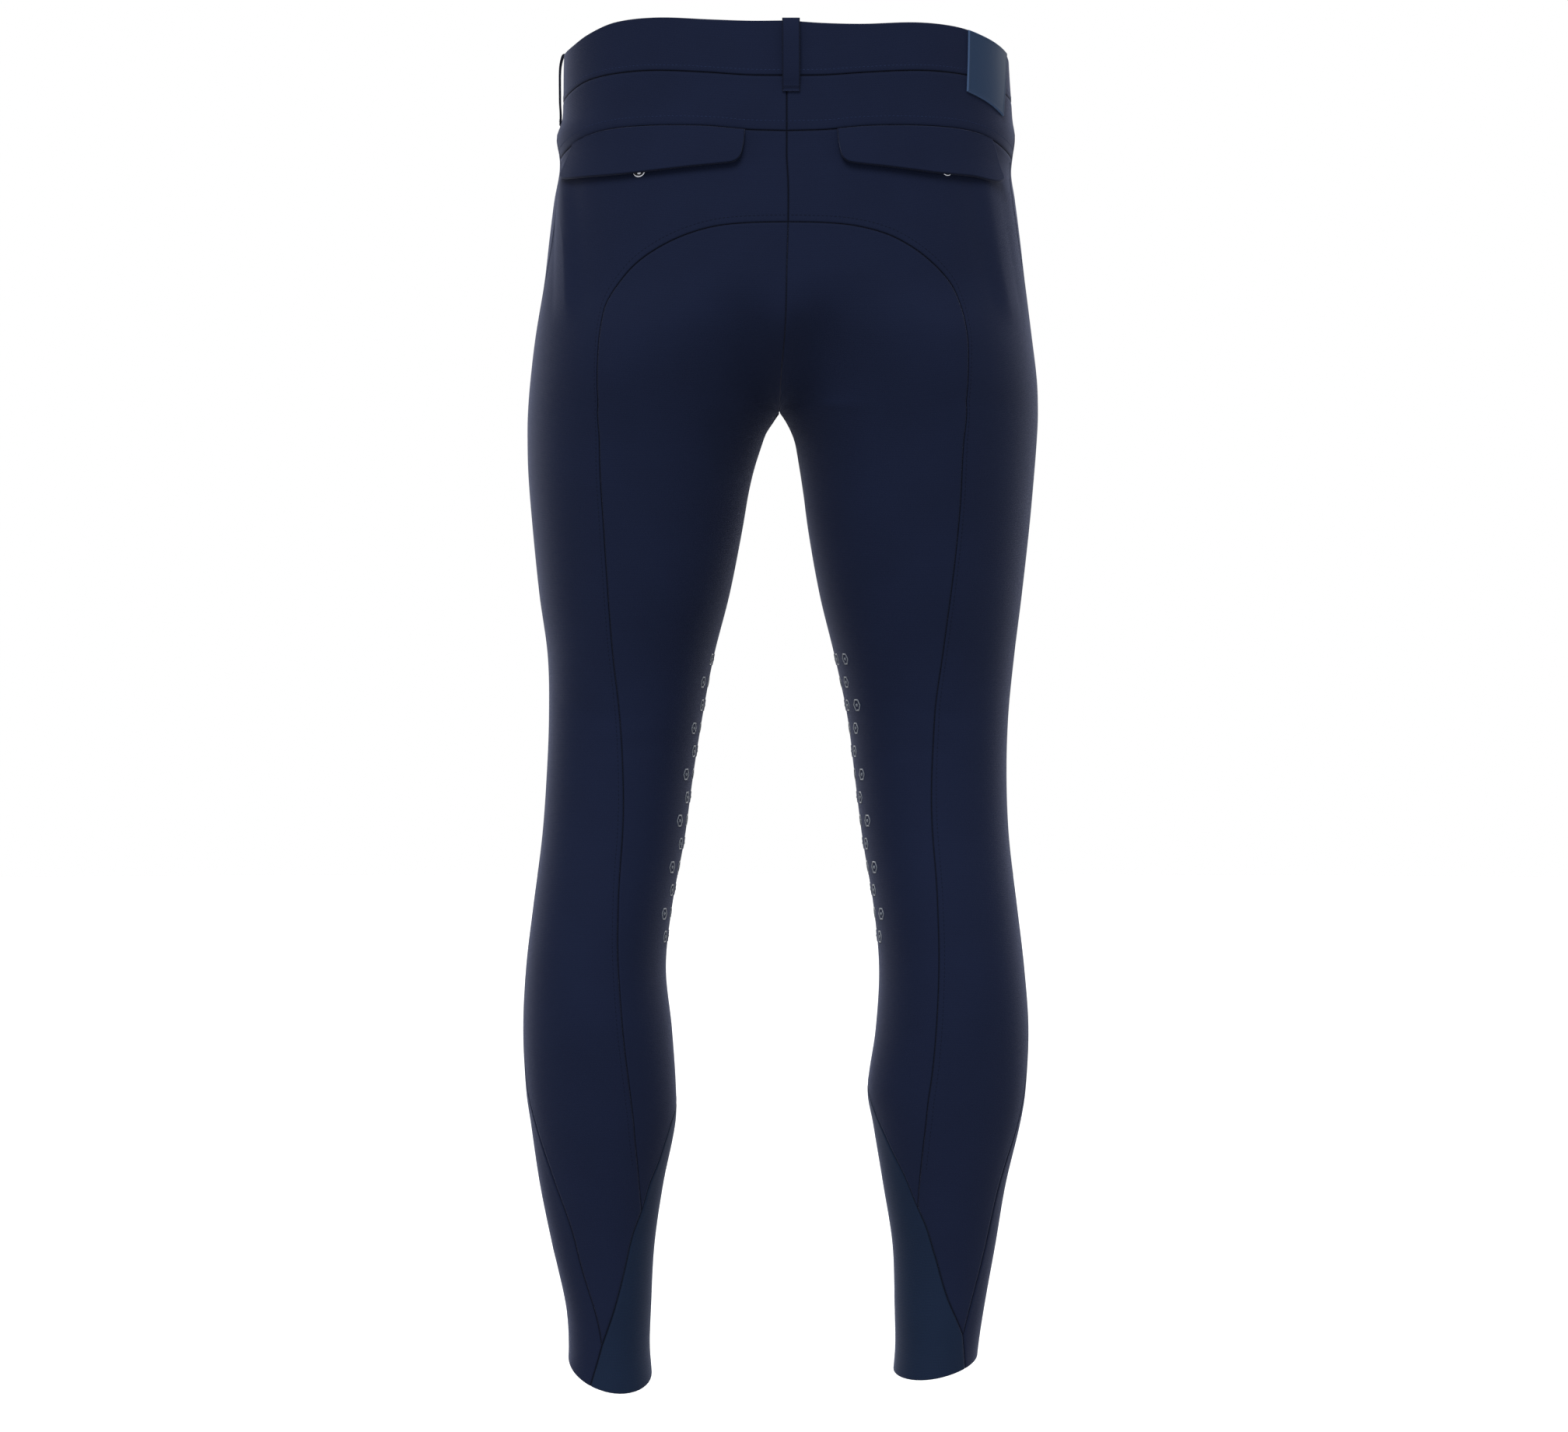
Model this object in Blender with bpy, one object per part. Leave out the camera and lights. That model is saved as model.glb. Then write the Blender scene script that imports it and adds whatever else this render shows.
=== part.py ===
"""Full-seat riding breeches, filled out as they hang on a wearer.

Frame: metres, +Z up, the wearer faces +Y, so +X is the wearer's right. The origin is the
centre of the waist opening at the waistband's mid-height, where the wearer carries them.

Each half of the garment is one smooth surface with two coordinates: t runs round the half
from centre back (0) over the outer side (0.5) to centre front (1), and z is the height. Above
the crotch the halves meet in the centre plane; below it each half closes into a leg, so t = 0
and t = 1 are both the inner leg. Every cut piece is a patch between seam lines drawn on that
surface, and pieces that share a seam share its points.

The tables and the working unit are millimetres.
"""
from functools import lru_cache
from math import cos, pi, sin, sqrt

import bmesh
import bpy
from mathutils import Vector

MM = 0.001

# Cloth walls and the gaps between pieces
CLOTH = 1.5            # bonded stretch twill
BAND_CLOTH = 2.4       # waistband, two layers
INSERT_CLOTH = 1.2     # thin stretch knit of the calf insert
FLAP_CLOTH = 2.0       # pocket flap, two layers
TRIM_CLOTH = 1.2       # belt loops, welts and patch
SEAM_GAP = 0.3         # between the faces of two pieces at a seam
LAY_GAP = 0.45         # between a panel and what lies on it
SHARPEST_MITRE = 3.0   # longest corner setback at a seam, in setbacks

# Numbers of faces
BACK_COLUMNS = 8       # centre back to side seam
FRONT_COLUMNS = 8      # side seam to centre front
PANEL_ACROSS = 5
INSERT_ACROSS = 7
STRAIGHT_STEPS = {"back": 2, "front": 5}    # on the centre seams, above their turn
TURN_STEPS = 7                              # round the turn to the fork
YOKE_SIDE_SHARES = (0.36, 0.62)             # round the swell of the hip beside the yoke
FORK_CROWD = 1.3                            # closer lines towards the centre seams

# Sections of the filled garment, x to the outer and inner outlines, y to the back and front.
# Above the crotch the inner outline is the centre line.
SECTIONS = (
    # z,  left_out, left_in, centre, right_in, right_out, back, front
    (45, -161.5, 0, 2, 0, 165, -113, 96),
    (10, -163, 0, 2, 0, 166.5, -115.5, 103),
    (-14, -163.3, 0, 2, 0, 168, -117, 105),
    (-30, -164, 0, 2, 0, 169, -118, 106),
    (-43, -168.2, 0, 2, 0, 170.9, -119, 106.5),
    (-58, -166, 0, 2, 0, 169, -120, 107),
    (-70, -166.3, 0, 2, 0, 168, -121, 107),
    (-88, -169.6, 0, 3, 0, 170.6, -123, 106),
    (-115, -173, 0, 3, 0, 174, -125, 105),
    (-150, -177, 0, 2, 0, 178, -126, 104),
    (-190, -183.5, 0, 1, 0, 183, -123, 103),
    (-222, -187.5, 0, -2, 0, 187, -116, 102),
    (-245, -189.5, -3.5, -3.5, -3.5, 188, -108, 101),
    (-262, -190, -14, 0, 7.5, 187.5, -103, 100),
    (-290, -189.5, -23, 0, 12, 185.5, -97, 98),
    (-330, -186.5, -30.5, 0, 17.5, 182, -88, 95),
    (-380, -181.5, -40.5, 0, 26.5, 176.5, -78, 89),
    (-425, -175.5, -52, 0, 37.5, 171, -66.5, 81),
    (-470, -174.5, -60.5, 0, 47, 166.5, -60, 71),
    (-515, -176, -67.5, 0, 52.5, 165, -61, 62),
    (-560, -179, -73.5, 0, 58, 166.5, -67, 54),
    (-610, -185, -82.5, 0, 66, 172, -78, 46),
    (-655, -190, -87, 0, 70, 177, -84, 40),
    (-700, -192, -82.5, 0, 67.5, 180, -86, 36),
    (-745, -190, -79.5, 0, 61.5, 178, -80, 31),
    (-770, -186.5, -80, 0, 65.5, 174, -76, 28),
    (-815, -180, -89, 0, 73, 163.5, -66, 24),
    (-860, -171, -95.5, 0, 80, 156, -59, 22),
    (-905, -161, -98, 0, 81.5, 148, -56, 22),
    (-935, -159, -99, 0, 82, 143.5, -55, 23),
    (-955, -160.5, -97.5, 0, 80.5, 142, -55.5, 24),
    (-985, -162, -96, 0, 79, 143, -56, 25),
)
LEFT_OUT, LEFT_IN, CENTRE, RIGHT_IN, RIGHT_OUT, BACK, FRONT = range(1, 8)
LEFT, RIGHT = -1, 1
CROTCH_Z = -245
FIRST_LEG_Z = -262          # below this section the inner outline follows the table
FORK_POWER = 0.6            # how round the fork is between those two heights
HIP_SQUARE = 2.2            # superellipse power of the hip sections
BACK_RISE_Z = -150          # where the centre-back line starts to turn under
FRONT_RISE_Z = -170         # the same at centre front
RISE_WIDTH_T = 0.14         # how far from the seam, in t, its turning under reaches

# Lines round the waist: heights of the waistband's top edge, its lower seam and the yoke seam
WAIST_LINES = (
    # t,   top_left, top_right, seam, yoke
    (0.00, 29.5, 29.5, -10.5, -50.5),
    (0.08, 29.5, 27.8, -10, -49.5),
    (0.16, 31, 27.8, -7.5, -46.5),
    (0.26, 34, 30.5, -4.5, -45),
    (0.33, 32.8, 29.3, -5, -46),
    (0.38, 27, 24.8, -7.5, -50),
    (0.42, 21.3, 20.2, -12, -55),
    (0.45, 19, 16.6, -15, -58),
    (0.50, 17.5, 12.5, -17.5, -61),
    (0.65, 13, 9.5, -22, -66),
    (0.80, 9, 7.5, -25, -68),
    (1.00, 6.5, 6.5, -27, -70),
)
TOP = {LEFT: 1, RIGHT: 2}
BAND_SEAM, YOKE_SEAM = 3, 4

# Seam round the full seat: x from the centre plane, over the arch and down to the calf
SEAT_SEAM = (
    # z,  left_x, right_x
    (-116.5, 0, 0),
    (-117, 27, 27),
    (-119, 50, 50),
    (-124.5, 71, 73),
    (-133, 90, 91),
    (-144.5, 107, 107),
    (-159, 120, 120.5),
    (-173, 128.5, 127),
    (-188, 132, 131),
    (-206, 134, 133),
    (-240, 134.5, 132),
    (-273, 133.5, 130),
    (-323, 131.5, 127.5),
    (-373, 128.5, 122.5),
    (-424, 125, 116),
    (-465, 120.5, 110.5),
    (-499, 118, 108.5),
    (-533, 117, 107.5),
    (-580, 119, 110),
    (-625, 120.5, 112),
    (-661, 119.5, 112),
    (-700, 116.5, 110),
    (-740, 112, 106),
    (-775, 108.5, 102),
    (-805, 106, 99),
)

# Seam between the back of the leg and the calf insert, from the inseam to the hem
INSERT_SEAM = (
    # left_z, left_x, right_z, right_x
    (-762, 80.5, -748, 62.5),
    (-769, 83, -757, 65.5),
    (-777, 85.5, -766, 69),
    (-787, 88.8, -777, 74),
    (-797, 92, -788, 79),
    (-813, 98.5, -806, 88),
    (-832, 104, -829, 97.5),
    (-850, 110.5, -844, 104),
    (-874, 116, -862, 109.5),
    (-901, 123, -894, 119),
    (-930, 133, -923, 131),
)
SEAT_MEETS_INSERT = 6       # the row where the seat seam ends on the insert seam
INSERT_TOP_RISE = 12        # the insert's top corner lies this far above the first row

# How far the side seam lies behind the leg's outer outline
SIDE_SEAM = (
    # z,   left, right
    (20, 0, 0),
    (-55, 1, 1),
    (-74, 2.5, 2.5),
    (-95, 4, 3.5),
    (-120, 4, 2.5),
    (-150, 1.5, 1),
    (-185, 0.6, 0.6),
    (-220, 0.4, 0.4),
    (-255, 0.4, 0.4),
    (-290, 0.4, 0.4),
    (-330, 0.4, 0.4),
    (-370, 0.4, 0.4),
    (-410, 0.4, 0.4),
    (-450, 0.4, 0.4),
    (-490, 0.4, 0.4),
    (-530, 0.4, 0.4),
    (-570, 0.4, 0.4),
    (-610, 0.4, 0.4),
    (-650, 0.4, 0.4),
    (-690, 0.5, 0.5),
    (-725, 0.9, 0.9),
    (-750, 2.4, 1.7),
    (-775, 6, 3.3),
    (-800, 11, 5.2),
    (-830, 16.5, 7),
    (-855, 20, 8.6),
    (-880, 20.3, 10),
    (-905, 21.5, 11.8),
    (-930, 26, 14.5),
    (-960, 19, 5),
)

# Height of the hem where the side seam ends, and how the hem slopes round the ankle
HEM = {
    LEFT: {"z": -948, "back_drop": 16, "outer_rise": 7},
    RIGHT: {"z": -946.7, "back_drop": 7.4, "outer_rise": 5.5},
}
INSEAM_LEAN = 0.03          # the inseam lies this far forward of the innermost line, in t
INSEAM_LEAN_DEPTH = 90      # and reaches it this far below the fork
INSERT_FRONT_T = -0.25      # where the insert's front seam meets the hem
INSERT_FRONT_DEPTH = 150    # how far down the leg it takes to get there

# Back pocket flaps
FLAP_INNER_T = {LEFT: 0.083, RIGHT: 0.1}
FLAP_INNER_LEAN = 0.005     # how far its inner edge leans outwards at the bottom
FLAP_OUTER_T = (0.406, 0.442)   # at the top and at the bottom
FLAP_HEM = (
    # across, z of the lower edge, from the inner corner outwards
    (0.00, -66),
    (0.01, -69.6),
    (0.03, -72.4),
    (0.06, -73.9),
    (0.14, -75),
    (0.24, -76),
    (0.34, -77.2),
    (0.44, -78.4),
    (0.53, -79.4),
    (0.62, -80),
    (0.72, -80.1),
    (0.82, -79.7),
    (0.91, -78.9),
    (0.97, -77.6),
    (1.00, -75.2),
)
FLAP_LIFT = 2.6             # how far the lower edge stands off beyond the upper
SNAP_RADIUS = 5.0
SNAP_THICK = 0.9
SNAP_PLACES = {LEFT: (104, -77.2), RIGHT: (117, -75.5)}     # x, z

# Belt loops: half, t, and the height of the lower end below the waistband seam
LOOP_WIDTH = 12.7
LOOPS = {
    "belt_loop_back": (RIGHT, 0.009, 11.5),
    "belt_loop_side_left": (LEFT, 0.5, 15),
    "belt_loop_side_right": (RIGHT, 0.6, 15),
    "belt_loop_front_left": (LEFT, 0.8, 12),
    "belt_loop_front_right": (RIGHT, 0.8, 12),
}
LOOP_PROFILE = (
    # off the cloth, height as a share from the lower end to the waistband's top edge
    (1.0, 0.0),
    (1.1, 0.08),
    (2.6, 0.20),
    (3.5, 0.36),
    (3.8, 0.52),
    (3.8, 0.70),
    (3.2, 0.86),
    (1.9, 0.97),
)
LOOP_OVER_TOP = 1.3         # the fold over the waistband's top edge
LOOP_THICK = 1.1

# Waist patch on the right back, plain
PATCH_T = (0.348, 0.447)
PATCH_TOP_SETBACK = 0.4
PATCH_BELOW_SEAM = (7, 16)    # at its inner and its outer edge

# Front fastening
FLY_WIDTH = 37
FLY_OVERLAP = 5
FLY_BOTTOM_Z = -163
FLY_CURVE_DEPTH = 42
FLY_FOOT = 3                # half width of its blunt foot
TAB_LENGTH = 34
TAB_SETBACK = 0.6
BUTTON_RADIUS = 7
BUTTON_THICK = 1.6

# Slanted front pocket: welt from the waistband seam to near the side seam
WELT_TOP_T, WELT_BOTTOM_T = 0.76, 0.565
WELT_BOTTOM_Z = -165
WELT_WIDTH = 12

# Colours are linear
NAVY = (0.010, 0.014, 0.037, 1)
TEAL_NAVY = (0.011, 0.024, 0.044, 1)
PATCH_TEAL = (0.018, 0.038, 0.066, 1)
NICKEL = (0.62, 0.62, 0.64, 1)


# ---- tables -------------------------------------------------------------------------

def read_table(table, column, place):
    """Smooth curve through one column of a table, at a place in its first column."""
    rows = sorted(table)
    if place <= rows[0][0]:
        return rows[0][column]
    if place >= rows[-1][0]:
        return rows[-1][column]
    index = next(i for i in range(len(rows) - 1) if place <= rows[i + 1][0])
    left, right = rows[index], rows[index + 1]
    before, after = rows[max(index - 1, 0)], rows[min(index + 2, len(rows) - 1)]
    span = right[0] - left[0]
    slope_left = (right[column] - before[column]) / (right[0] - before[0])
    slope_right = (after[column] - left[column]) / (after[0] - left[0])
    s = (place - left[0]) / span
    return ((1 + 2 * s) * (1 - s) ** 2 * left[column] + s * (1 - s) ** 2 * span * slope_left
            + s * s * (3 - 2 * s) * right[column] - s * s * (1 - s) * span * slope_right)


def outlines(half, z):
    """Outer, inner and centre x of one half at a height."""
    out_column, in_column = (LEFT_OUT, LEFT_IN) if half == LEFT else (RIGHT_OUT, RIGHT_IN)
    outer = read_table(SECTIONS, out_column, z)
    if z >= CROTCH_Z:
        above = [row for row in SECTIONS if row[0] >= CROTCH_Z]
        inner = read_table(above, CENTRE, z)
    elif z > FIRST_LEG_Z:
        fork = read_table(SECTIONS, CENTRE, CROTCH_Z)
        first = read_table(SECTIONS, in_column, FIRST_LEG_Z)
        share = (CROTCH_Z - z) / (CROTCH_Z - FIRST_LEG_Z)
        inner = fork + (first - fork) * share ** FORK_POWER
    else:
        below = [row for row in SECTIONS if row[0] <= FIRST_LEG_Z]
        inner = read_table(below, in_column, z)
    return outer, inner


# ---- the garment's surface ----------------------------------------------------------

def smoothstep(share):
    share = min(max(share, 0.0), 1.0)
    return share * share * (3 - 2 * share)


def rise_share(z, start, from_seam):
    """0 above the rise, 1 at the fork. The centre seam turns under in a U, and the cloth
    beside it runs smoothly into the leg."""
    if z >= start:
        return 0.0
    share = min((start - z) / (start - CROTCH_Z), 1.0)
    under = 1.0 - sqrt(max(1.0 - share * share, 0.0))
    return under + (smoothstep(share) - under) * smoothstep(from_seam / RISE_WIDTH_T)


def blended_place(half, t, z, outer, inner, middle, depth):
    """x and y where the leg ring and the hip ring are mixed at one height."""
    # leg ring: an ellipse from the inner leg over the back to the outer side
    radius = abs(outer - inner) / 2
    turn = 2 * pi * t
    leg_x = (outer + inner) / 2 - half * radius * cos(turn)
    leg_y = middle - depth * sin(turn)
    if z <= CROTCH_Z:
        return leg_x, leg_y
    front_share = smoothstep((t - 0.3) / 0.4)
    leg = ((1 - front_share) * rise_share(z, BACK_RISE_Z, t)
           + front_share * rise_share(z, FRONT_RISE_Z, 1 - t))
    # hip ring: half a superellipse from centre back to centre front
    across, along = sin(pi * t), -cos(pi * t)
    reach = ((abs(across) / abs(outer - inner)) ** HIP_SQUARE
             + (abs(along) / depth) ** HIP_SQUARE) ** (-1 / HIP_SQUARE)
    hip_x = inner + half * reach * across
    hip_y = middle + reach * along
    return hip_x + leg * (leg_x - hip_x), hip_y + leg * (leg_y - hip_y)


@lru_cache(maxsize=None)
def section(half, z):
    """One section: outlines, middle and half depth, and how far mixing the two rings
    has flattened its back and its front, which the surface makes up for."""
    outer, inner = outlines(half, z)
    back = read_table(SECTIONS, BACK, z)
    front = read_table(SECTIONS, FRONT, z)
    middle = (back + front) / 2
    depth = (front - back) / 2
    shape = (outer, inner, middle, depth)
    reaches = [blended_place(half, i / 40, z, *shape)[1] - middle for i in range(41)]
    return shape, -min(reaches) / depth, max(reaches) / depth


def surface(half, t, z):
    """Point of the garment's outer face."""
    shape, back_fullness, front_fullness = section(half, z)
    x, y = blended_place(half, t, z, *shape)
    middle = shape[2]
    fullness = back_fullness if y < middle else front_fullness
    return Vector((x, middle + (y - middle) / fullness, z))


def surface_normal(half, t, z):
    """Outward normal, in the centre plane where the two halves meet above the fork."""
    dt, dz = 0.0015, 0.3
    on_centre = z > CROTCH_Z - dz and min(abs(t), abs(1 - t)) < 1e-6
    if on_centre and abs(z - CROTCH_Z) <= dz:
        return Vector((0, 0, -1))
    low, high = (z - dz, z + dz) if z <= CROTCH_Z - dz or z >= CROTCH_Z + dz else (z, z + dz)
    t_low, t_high = t - dt, t + dt
    if z > CROTCH_Z:
        t_low, t_high = max(t_low, 0), min(t_high, 1)
    along = surface(half, t_high, z) - surface(half, t_low, z)
    up = surface(half, t, high) - surface(half, t, low)
    normal = along.cross(up) * half
    if on_centre:
        normal.x = 0
    return normal.normalized()


def solve_t(half, x, z, t_low, t_high):
    """The t between two others where the surface lies at x."""
    for _ in range(40):
        t_mid = (t_low + t_high) / 2
        if (surface(half, t_mid, z).x - x) * half < 0:
            t_low = t_mid
        else:
            t_high = t_mid
    return (t_low + t_high) / 2


def front_place(x, z):
    """Half and t of the front face at x, measured from the centre front seam."""
    centre = outlines(RIGHT, z)[1]
    half = RIGHT if x >= 0 else LEFT
    t_low, t_high = 0.55, 1.0
    for _ in range(40):
        t_mid = (t_low + t_high) / 2
        if (surface(half, t_mid, z).x - centre - x) * half > 0:
            t_low = t_mid
        else:
            t_high = t_mid
    return half, (t_low + t_high) / 2


# ---- seam lines, each a list of (t, z) shared by the pieces on both sides -----------

def waist_line(column, t):
    return read_table(WAIST_LINES, column, t)


def side_t(half, z):
    column = 1 if half == LEFT else 2
    outer = outlines(half, z)[0]
    return solve_t(half, outer - half * read_table(SIDE_SEAM, column, z), z, 0.25, 0.5)


def side_corner(half, line):
    """Where the side seam meets a line round the waist."""
    t = 0.5
    for _ in range(6):
        t = side_t(half, waist_line(line, t))
    return t, waist_line(line, t)


def hem_z(half, t):
    hem = HEM[half]
    return hem["z"] - hem["back_drop"] * sin(2 * pi * t) - hem["outer_rise"] * cos(2 * pi * t)


def waist_columns(half, line):
    """A line round the waist, with a column at the side seam."""
    t_side, _ = side_corner(half, line)
    back = [t_side * i / BACK_COLUMNS for i in range(BACK_COLUMNS)]
    front = [t_side + (1 - t_side) * i / FRONT_COLUMNS for i in range(FRONT_COLUMNS + 1)]
    return [(t, waist_line(line, t)) for t in back + front]


def side_line(half):
    """Side seam from the yoke to the point of the back panel at the ankle."""
    corner = side_corner(half, YOKE_SEAM)
    tip = insert_line(half)[-1]
    heights = [row[0] for row in SIDE_SEAM if tip[1] + 8 < row[0] < corner[1] - 20]
    return [corner] + [(side_t(half, z), z) for z in heights] + [tip]


def side_above_yoke(half):
    top, bottom = side_corner(half, BAND_SEAM), side_corner(half, YOKE_SEAM)
    heights = [top[1] + (bottom[1] - top[1]) * share for share in YOKE_SIDE_SHARES]
    return [top] + [(side_t(half, z), z) for z in heights] + [bottom]


def side_below_tip(half):
    tip = insert_line(half)[-1]
    z = hem_z(half, side_t(half, HEM[half]["z"]))
    z = hem_z(half, side_t(half, z))
    hem = (side_t(half, z), z)
    return [tip, ((tip[0] + hem[0]) / 2, (tip[1] + hem[1]) / 2), hem]


def insert_line(half):
    """Seam between the back of the leg and the calf insert, from the inseam down."""
    z_column, x_column = (0, 1) if half == LEFT else (2, 3)
    rows = [(row[z_column], row[x_column]) for row in INSERT_SEAM]
    points = [(solve_t(half, half * x, z, -0.02, 0.5), z) for z, x in rows]
    top_z = rows[0][0] + INSERT_TOP_RISE
    return [(inseam_t(top_z), top_z)] + points


def inseam_t(z):
    return -INSEAM_LEAN * smoothstep((CROTCH_Z - z) / INSEAM_LEAN_DEPTH)


def seat_line(half):
    """Seam round the seat, from centre back over the arch to the insert seam."""
    x_column = 1 if half == LEFT else 2
    points = []
    for row in SEAT_SEAM:
        z, x = row[0], row[x_column]
        centre = outlines(half, z)[1] if z > CROTCH_Z else 0
        shift = centre * (1 - x / 130) if x < 130 else 0
        points.append((solve_t(half, half * x + shift, z, 0, 0.5) if x else 0.0, z))
    return points + [insert_line(half)[SEAT_MEETS_INSERT + 1]]


def centre_line(t, z_from, turn_z, straight_steps):
    """Centre seam down to the fork, in even steps round its turn."""
    line = []
    for i in range(straight_steps):
        line.append((t, z_from + (turn_z - z_from) * i / straight_steps))
    for i in range(TURN_STEPS + 1):
        line.append((t, turn_z + (CROTCH_Z - turn_z) * sin(i / TURN_STEPS * pi / 2)))
    return line


def inseam_line(half, steps=13):
    """Inseam from the fork to the top of the calf insert, closer near the fork."""
    z_end = insert_line(half)[0][1]
    line = []
    for i in range(steps + 1):
        share = (i / steps) ** 1.25
        z = CROTCH_Z + (z_end - CROTCH_Z) * share
        line.append((inseam_t(z), z))
    return line


def insert_front_line(half, steps=9):
    """Front seam of the calf insert, from the top of the insert to the hem."""
    t_top, z_top = insert_line(half)[0]
    z_end = hem_z(half, INSERT_FRONT_T)
    line = []
    for i in range(steps + 1):
        z = z_top + (z_end - z_top) * i / steps
        share = smoothstep((z_top - z) / INSERT_FRONT_DEPTH)
        line.append((t_top + (INSERT_FRONT_T - t_top) * share, z))
    return line


def shift_line(line, turns):
    return [(t + turns, z) for t, z in line]


# ---- patches between seam lines -----------------------------------------------------

def line_shares(half, line):
    """Share of the line's length at each of its points."""
    places = [surface(half, *point) for point in line]
    lengths = [0.0]
    for a, b in zip(places, places[1:]):
        lengths.append(lengths[-1] + (b - a).length)
    return [length / lengths[-1] for length in lengths]


def along_line(line, shares, share):
    for i in range(len(line) - 1):
        if share <= shares[i + 1] or i == len(line) - 2:
            f = (share - shares[i]) / (shares[i + 1] - shares[i])
            return tuple(a + (b - a) * f for a, b in zip(line[i], line[i + 1]))


def mix(a, b, share):
    return tuple(p + (q - p) * share for p, q in zip(a, b))


def patch(half, first, last, across, start=None, end=None, crowd=1.0):
    """Points and triangles of a patch ruled between two seam lines.

    The lines keep their own points, and each line between them takes the shares of the
    nearer one. start and end are the patch's other two edges; without one the lines meet in
    a point. A crowd above 1 draws the lines closer together near the first.
    """
    first_shares, last_shares = line_shares(half, first), line_shares(half, last)
    edges = [(start, 0), (end, -1)]
    lines = [list(first)]
    for j in range(1, across):
        r = (j / across) ** crowd
        shares = first_shares if 2 * j < across else last_shares
        line = []
        for share in shares:
            point = mix(along_line(first, first_shares, share),
                        along_line(last, last_shares, share), r)
            for edge, index in edges:
                if edge:
                    pull = (1 - share) ** 3 if index == 0 else share ** 3
                    straight = mix(first[index], last[index], r)
                    point = tuple(p + (e - s) * pull
                                  for p, e, s in zip(point, edge[j], straight))
            line.append(point)
        lines.append(line)
    lines.append(list(last))

    points, index_of = [], {}

    def index(point):
        key = (round(point[0], 7), round(point[1], 4))
        if key not in index_of:
            index_of[key] = len(points)
            points.append(point)
        return index_of[key]

    triangles = []
    for a, b in zip(lines, lines[1:]):
        a_index, b_index = [index(p) for p in a], [index(p) for p in b]
        a_places, b_places = [surface(half, *p) for p in a], [surface(half, *p) for p in b]
        i = j = 0
        while i < len(a) - 1 or j < len(b) - 1:
            if i == len(a) - 1 or j == len(b) - 1:
                step_a = j == len(b) - 1
            else:       # the shorter of the two cuts across
                step_a = ((a_places[i + 1] - b_places[j]).length
                          < (b_places[j + 1] - a_places[i]).length)
            if step_a:
                corner = (a_index[i], a_index[i + 1], b_index[j])
                i += 1
            else:
                corner = (a_index[i], b_index[j + 1], b_index[j])
                j += 1
            if len(set(corner)) == 3:
                triangles.append(corner)
    return points, triangles


def edge_between(a, b, steps):
    return [mix(a, b, i / steps) for i in range(steps + 1)]


# ---- closed pieces ------------------------------------------------------------------

def rim_edges(triangles):
    """Edges on the rim, each with the corner that lies opposite it."""
    seen = {}
    for corners in triangles:
        for k in range(3):
            a, b, opposite = corners[k], corners[(k + 1) % 3], corners[(k + 2) % 3]
            key = (min(a, b), max(a, b))
            seen.setdefault(key, []).append(opposite)
    return {edge: opposites[0] for edge, opposites in seen.items() if len(opposites) == 1}


def set_back_rim(places, normals, triangles, setback):
    """Move the rim into the piece by a setback at right angles to each edge."""
    inward = {}
    for (a, b), opposite in rim_edges(triangles).items():
        along = (places[b] - places[a]).normalized()
        normal = (normals[a] + normals[b]).normalized()
        side = normal.cross(along)
        if side.dot(places[opposite] - places[a]) < 0:
            side.negate()
        inward.setdefault(a, []).append(side.normalized())
        inward.setdefault(b, []).append(side.normalized())
    moved = list(places)
    for corner, (first, second) in inward.items():
        both = first + second
        mitre = both / max(1 + first.dot(second), 0.02)
        if mitre.length > SHARPEST_MITRE:
            mitre *= SHARPEST_MITRE / mitre.length
        moved[corner] = places[corner] + mitre * setback
    return moved


def closed_piece(name, outer, inner, triangles, material):
    """A closed wall between an outer and an inner skin with the same triangles."""
    mesh = bmesh.new()
    outer_verts = [mesh.verts.new(p * MM) for p in outer]
    inner_verts = [mesh.verts.new(p * MM) for p in inner]
    for a, b, c in triangles:
        mesh.faces.new((outer_verts[a], outer_verts[b], outer_verts[c]))
        mesh.faces.new((inner_verts[c], inner_verts[b], inner_verts[a]))
    for a, b in rim_edges(triangles):
        mesh.faces.new((outer_verts[a], outer_verts[b], inner_verts[b], inner_verts[a]))
    bmesh.ops.recalc_face_normals(mesh, faces=mesh.faces)
    return finish_object(name, mesh, material)


def finish_object(name, mesh, material):
    data = bpy.data.meshes.new(name)
    mesh.to_mesh(data)
    mesh.free()
    data.shade_smooth()
    data.set_sharp_from_angle(angle=0.7)
    data.materials.append(material)
    item = bpy.data.objects.new(name, data)
    bpy.context.collection.objects.link(item)
    return item


def sewn_piece(name, half, points, triangles, wall, material):
    """A panel: its outer skin on the surface, its wall inwards, its rim set back."""
    places = [surface(half, *p) for p in points]
    normals = [surface_normal(half, *p) for p in points]
    outer = set_back_rim(places, normals, triangles, SEAM_GAP / 2)
    inner = [p - n * wall for p, n in zip(outer, normals)]
    return closed_piece(name, outer, inner, triangles, material)


def laid_piece(name, places, normals, triangles, lift, wall, material):
    """A piece that lies on a panel, made from the surface's points moved out."""
    under = [p + n * off for p, n, off in zip(places, normals, lift)]
    over = [p + n * (off + wall) for p, n, off in zip(places, normals, lift)]
    return closed_piece(name, over, under, triangles, material)


def grid_triangles(columns, rows):
    """Triangles of a grid whose points are listed row by row."""
    triangles = []
    for row in range(rows):
        for column in range(columns):
            a = row * (columns + 1) + column
            b, c, d = a + 1, a + columns + 2, a + columns + 1
            triangles += [(a, b, c), (a, c, d)]
    return triangles


# ---- panels -------------------------------------------------------------------------

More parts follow.
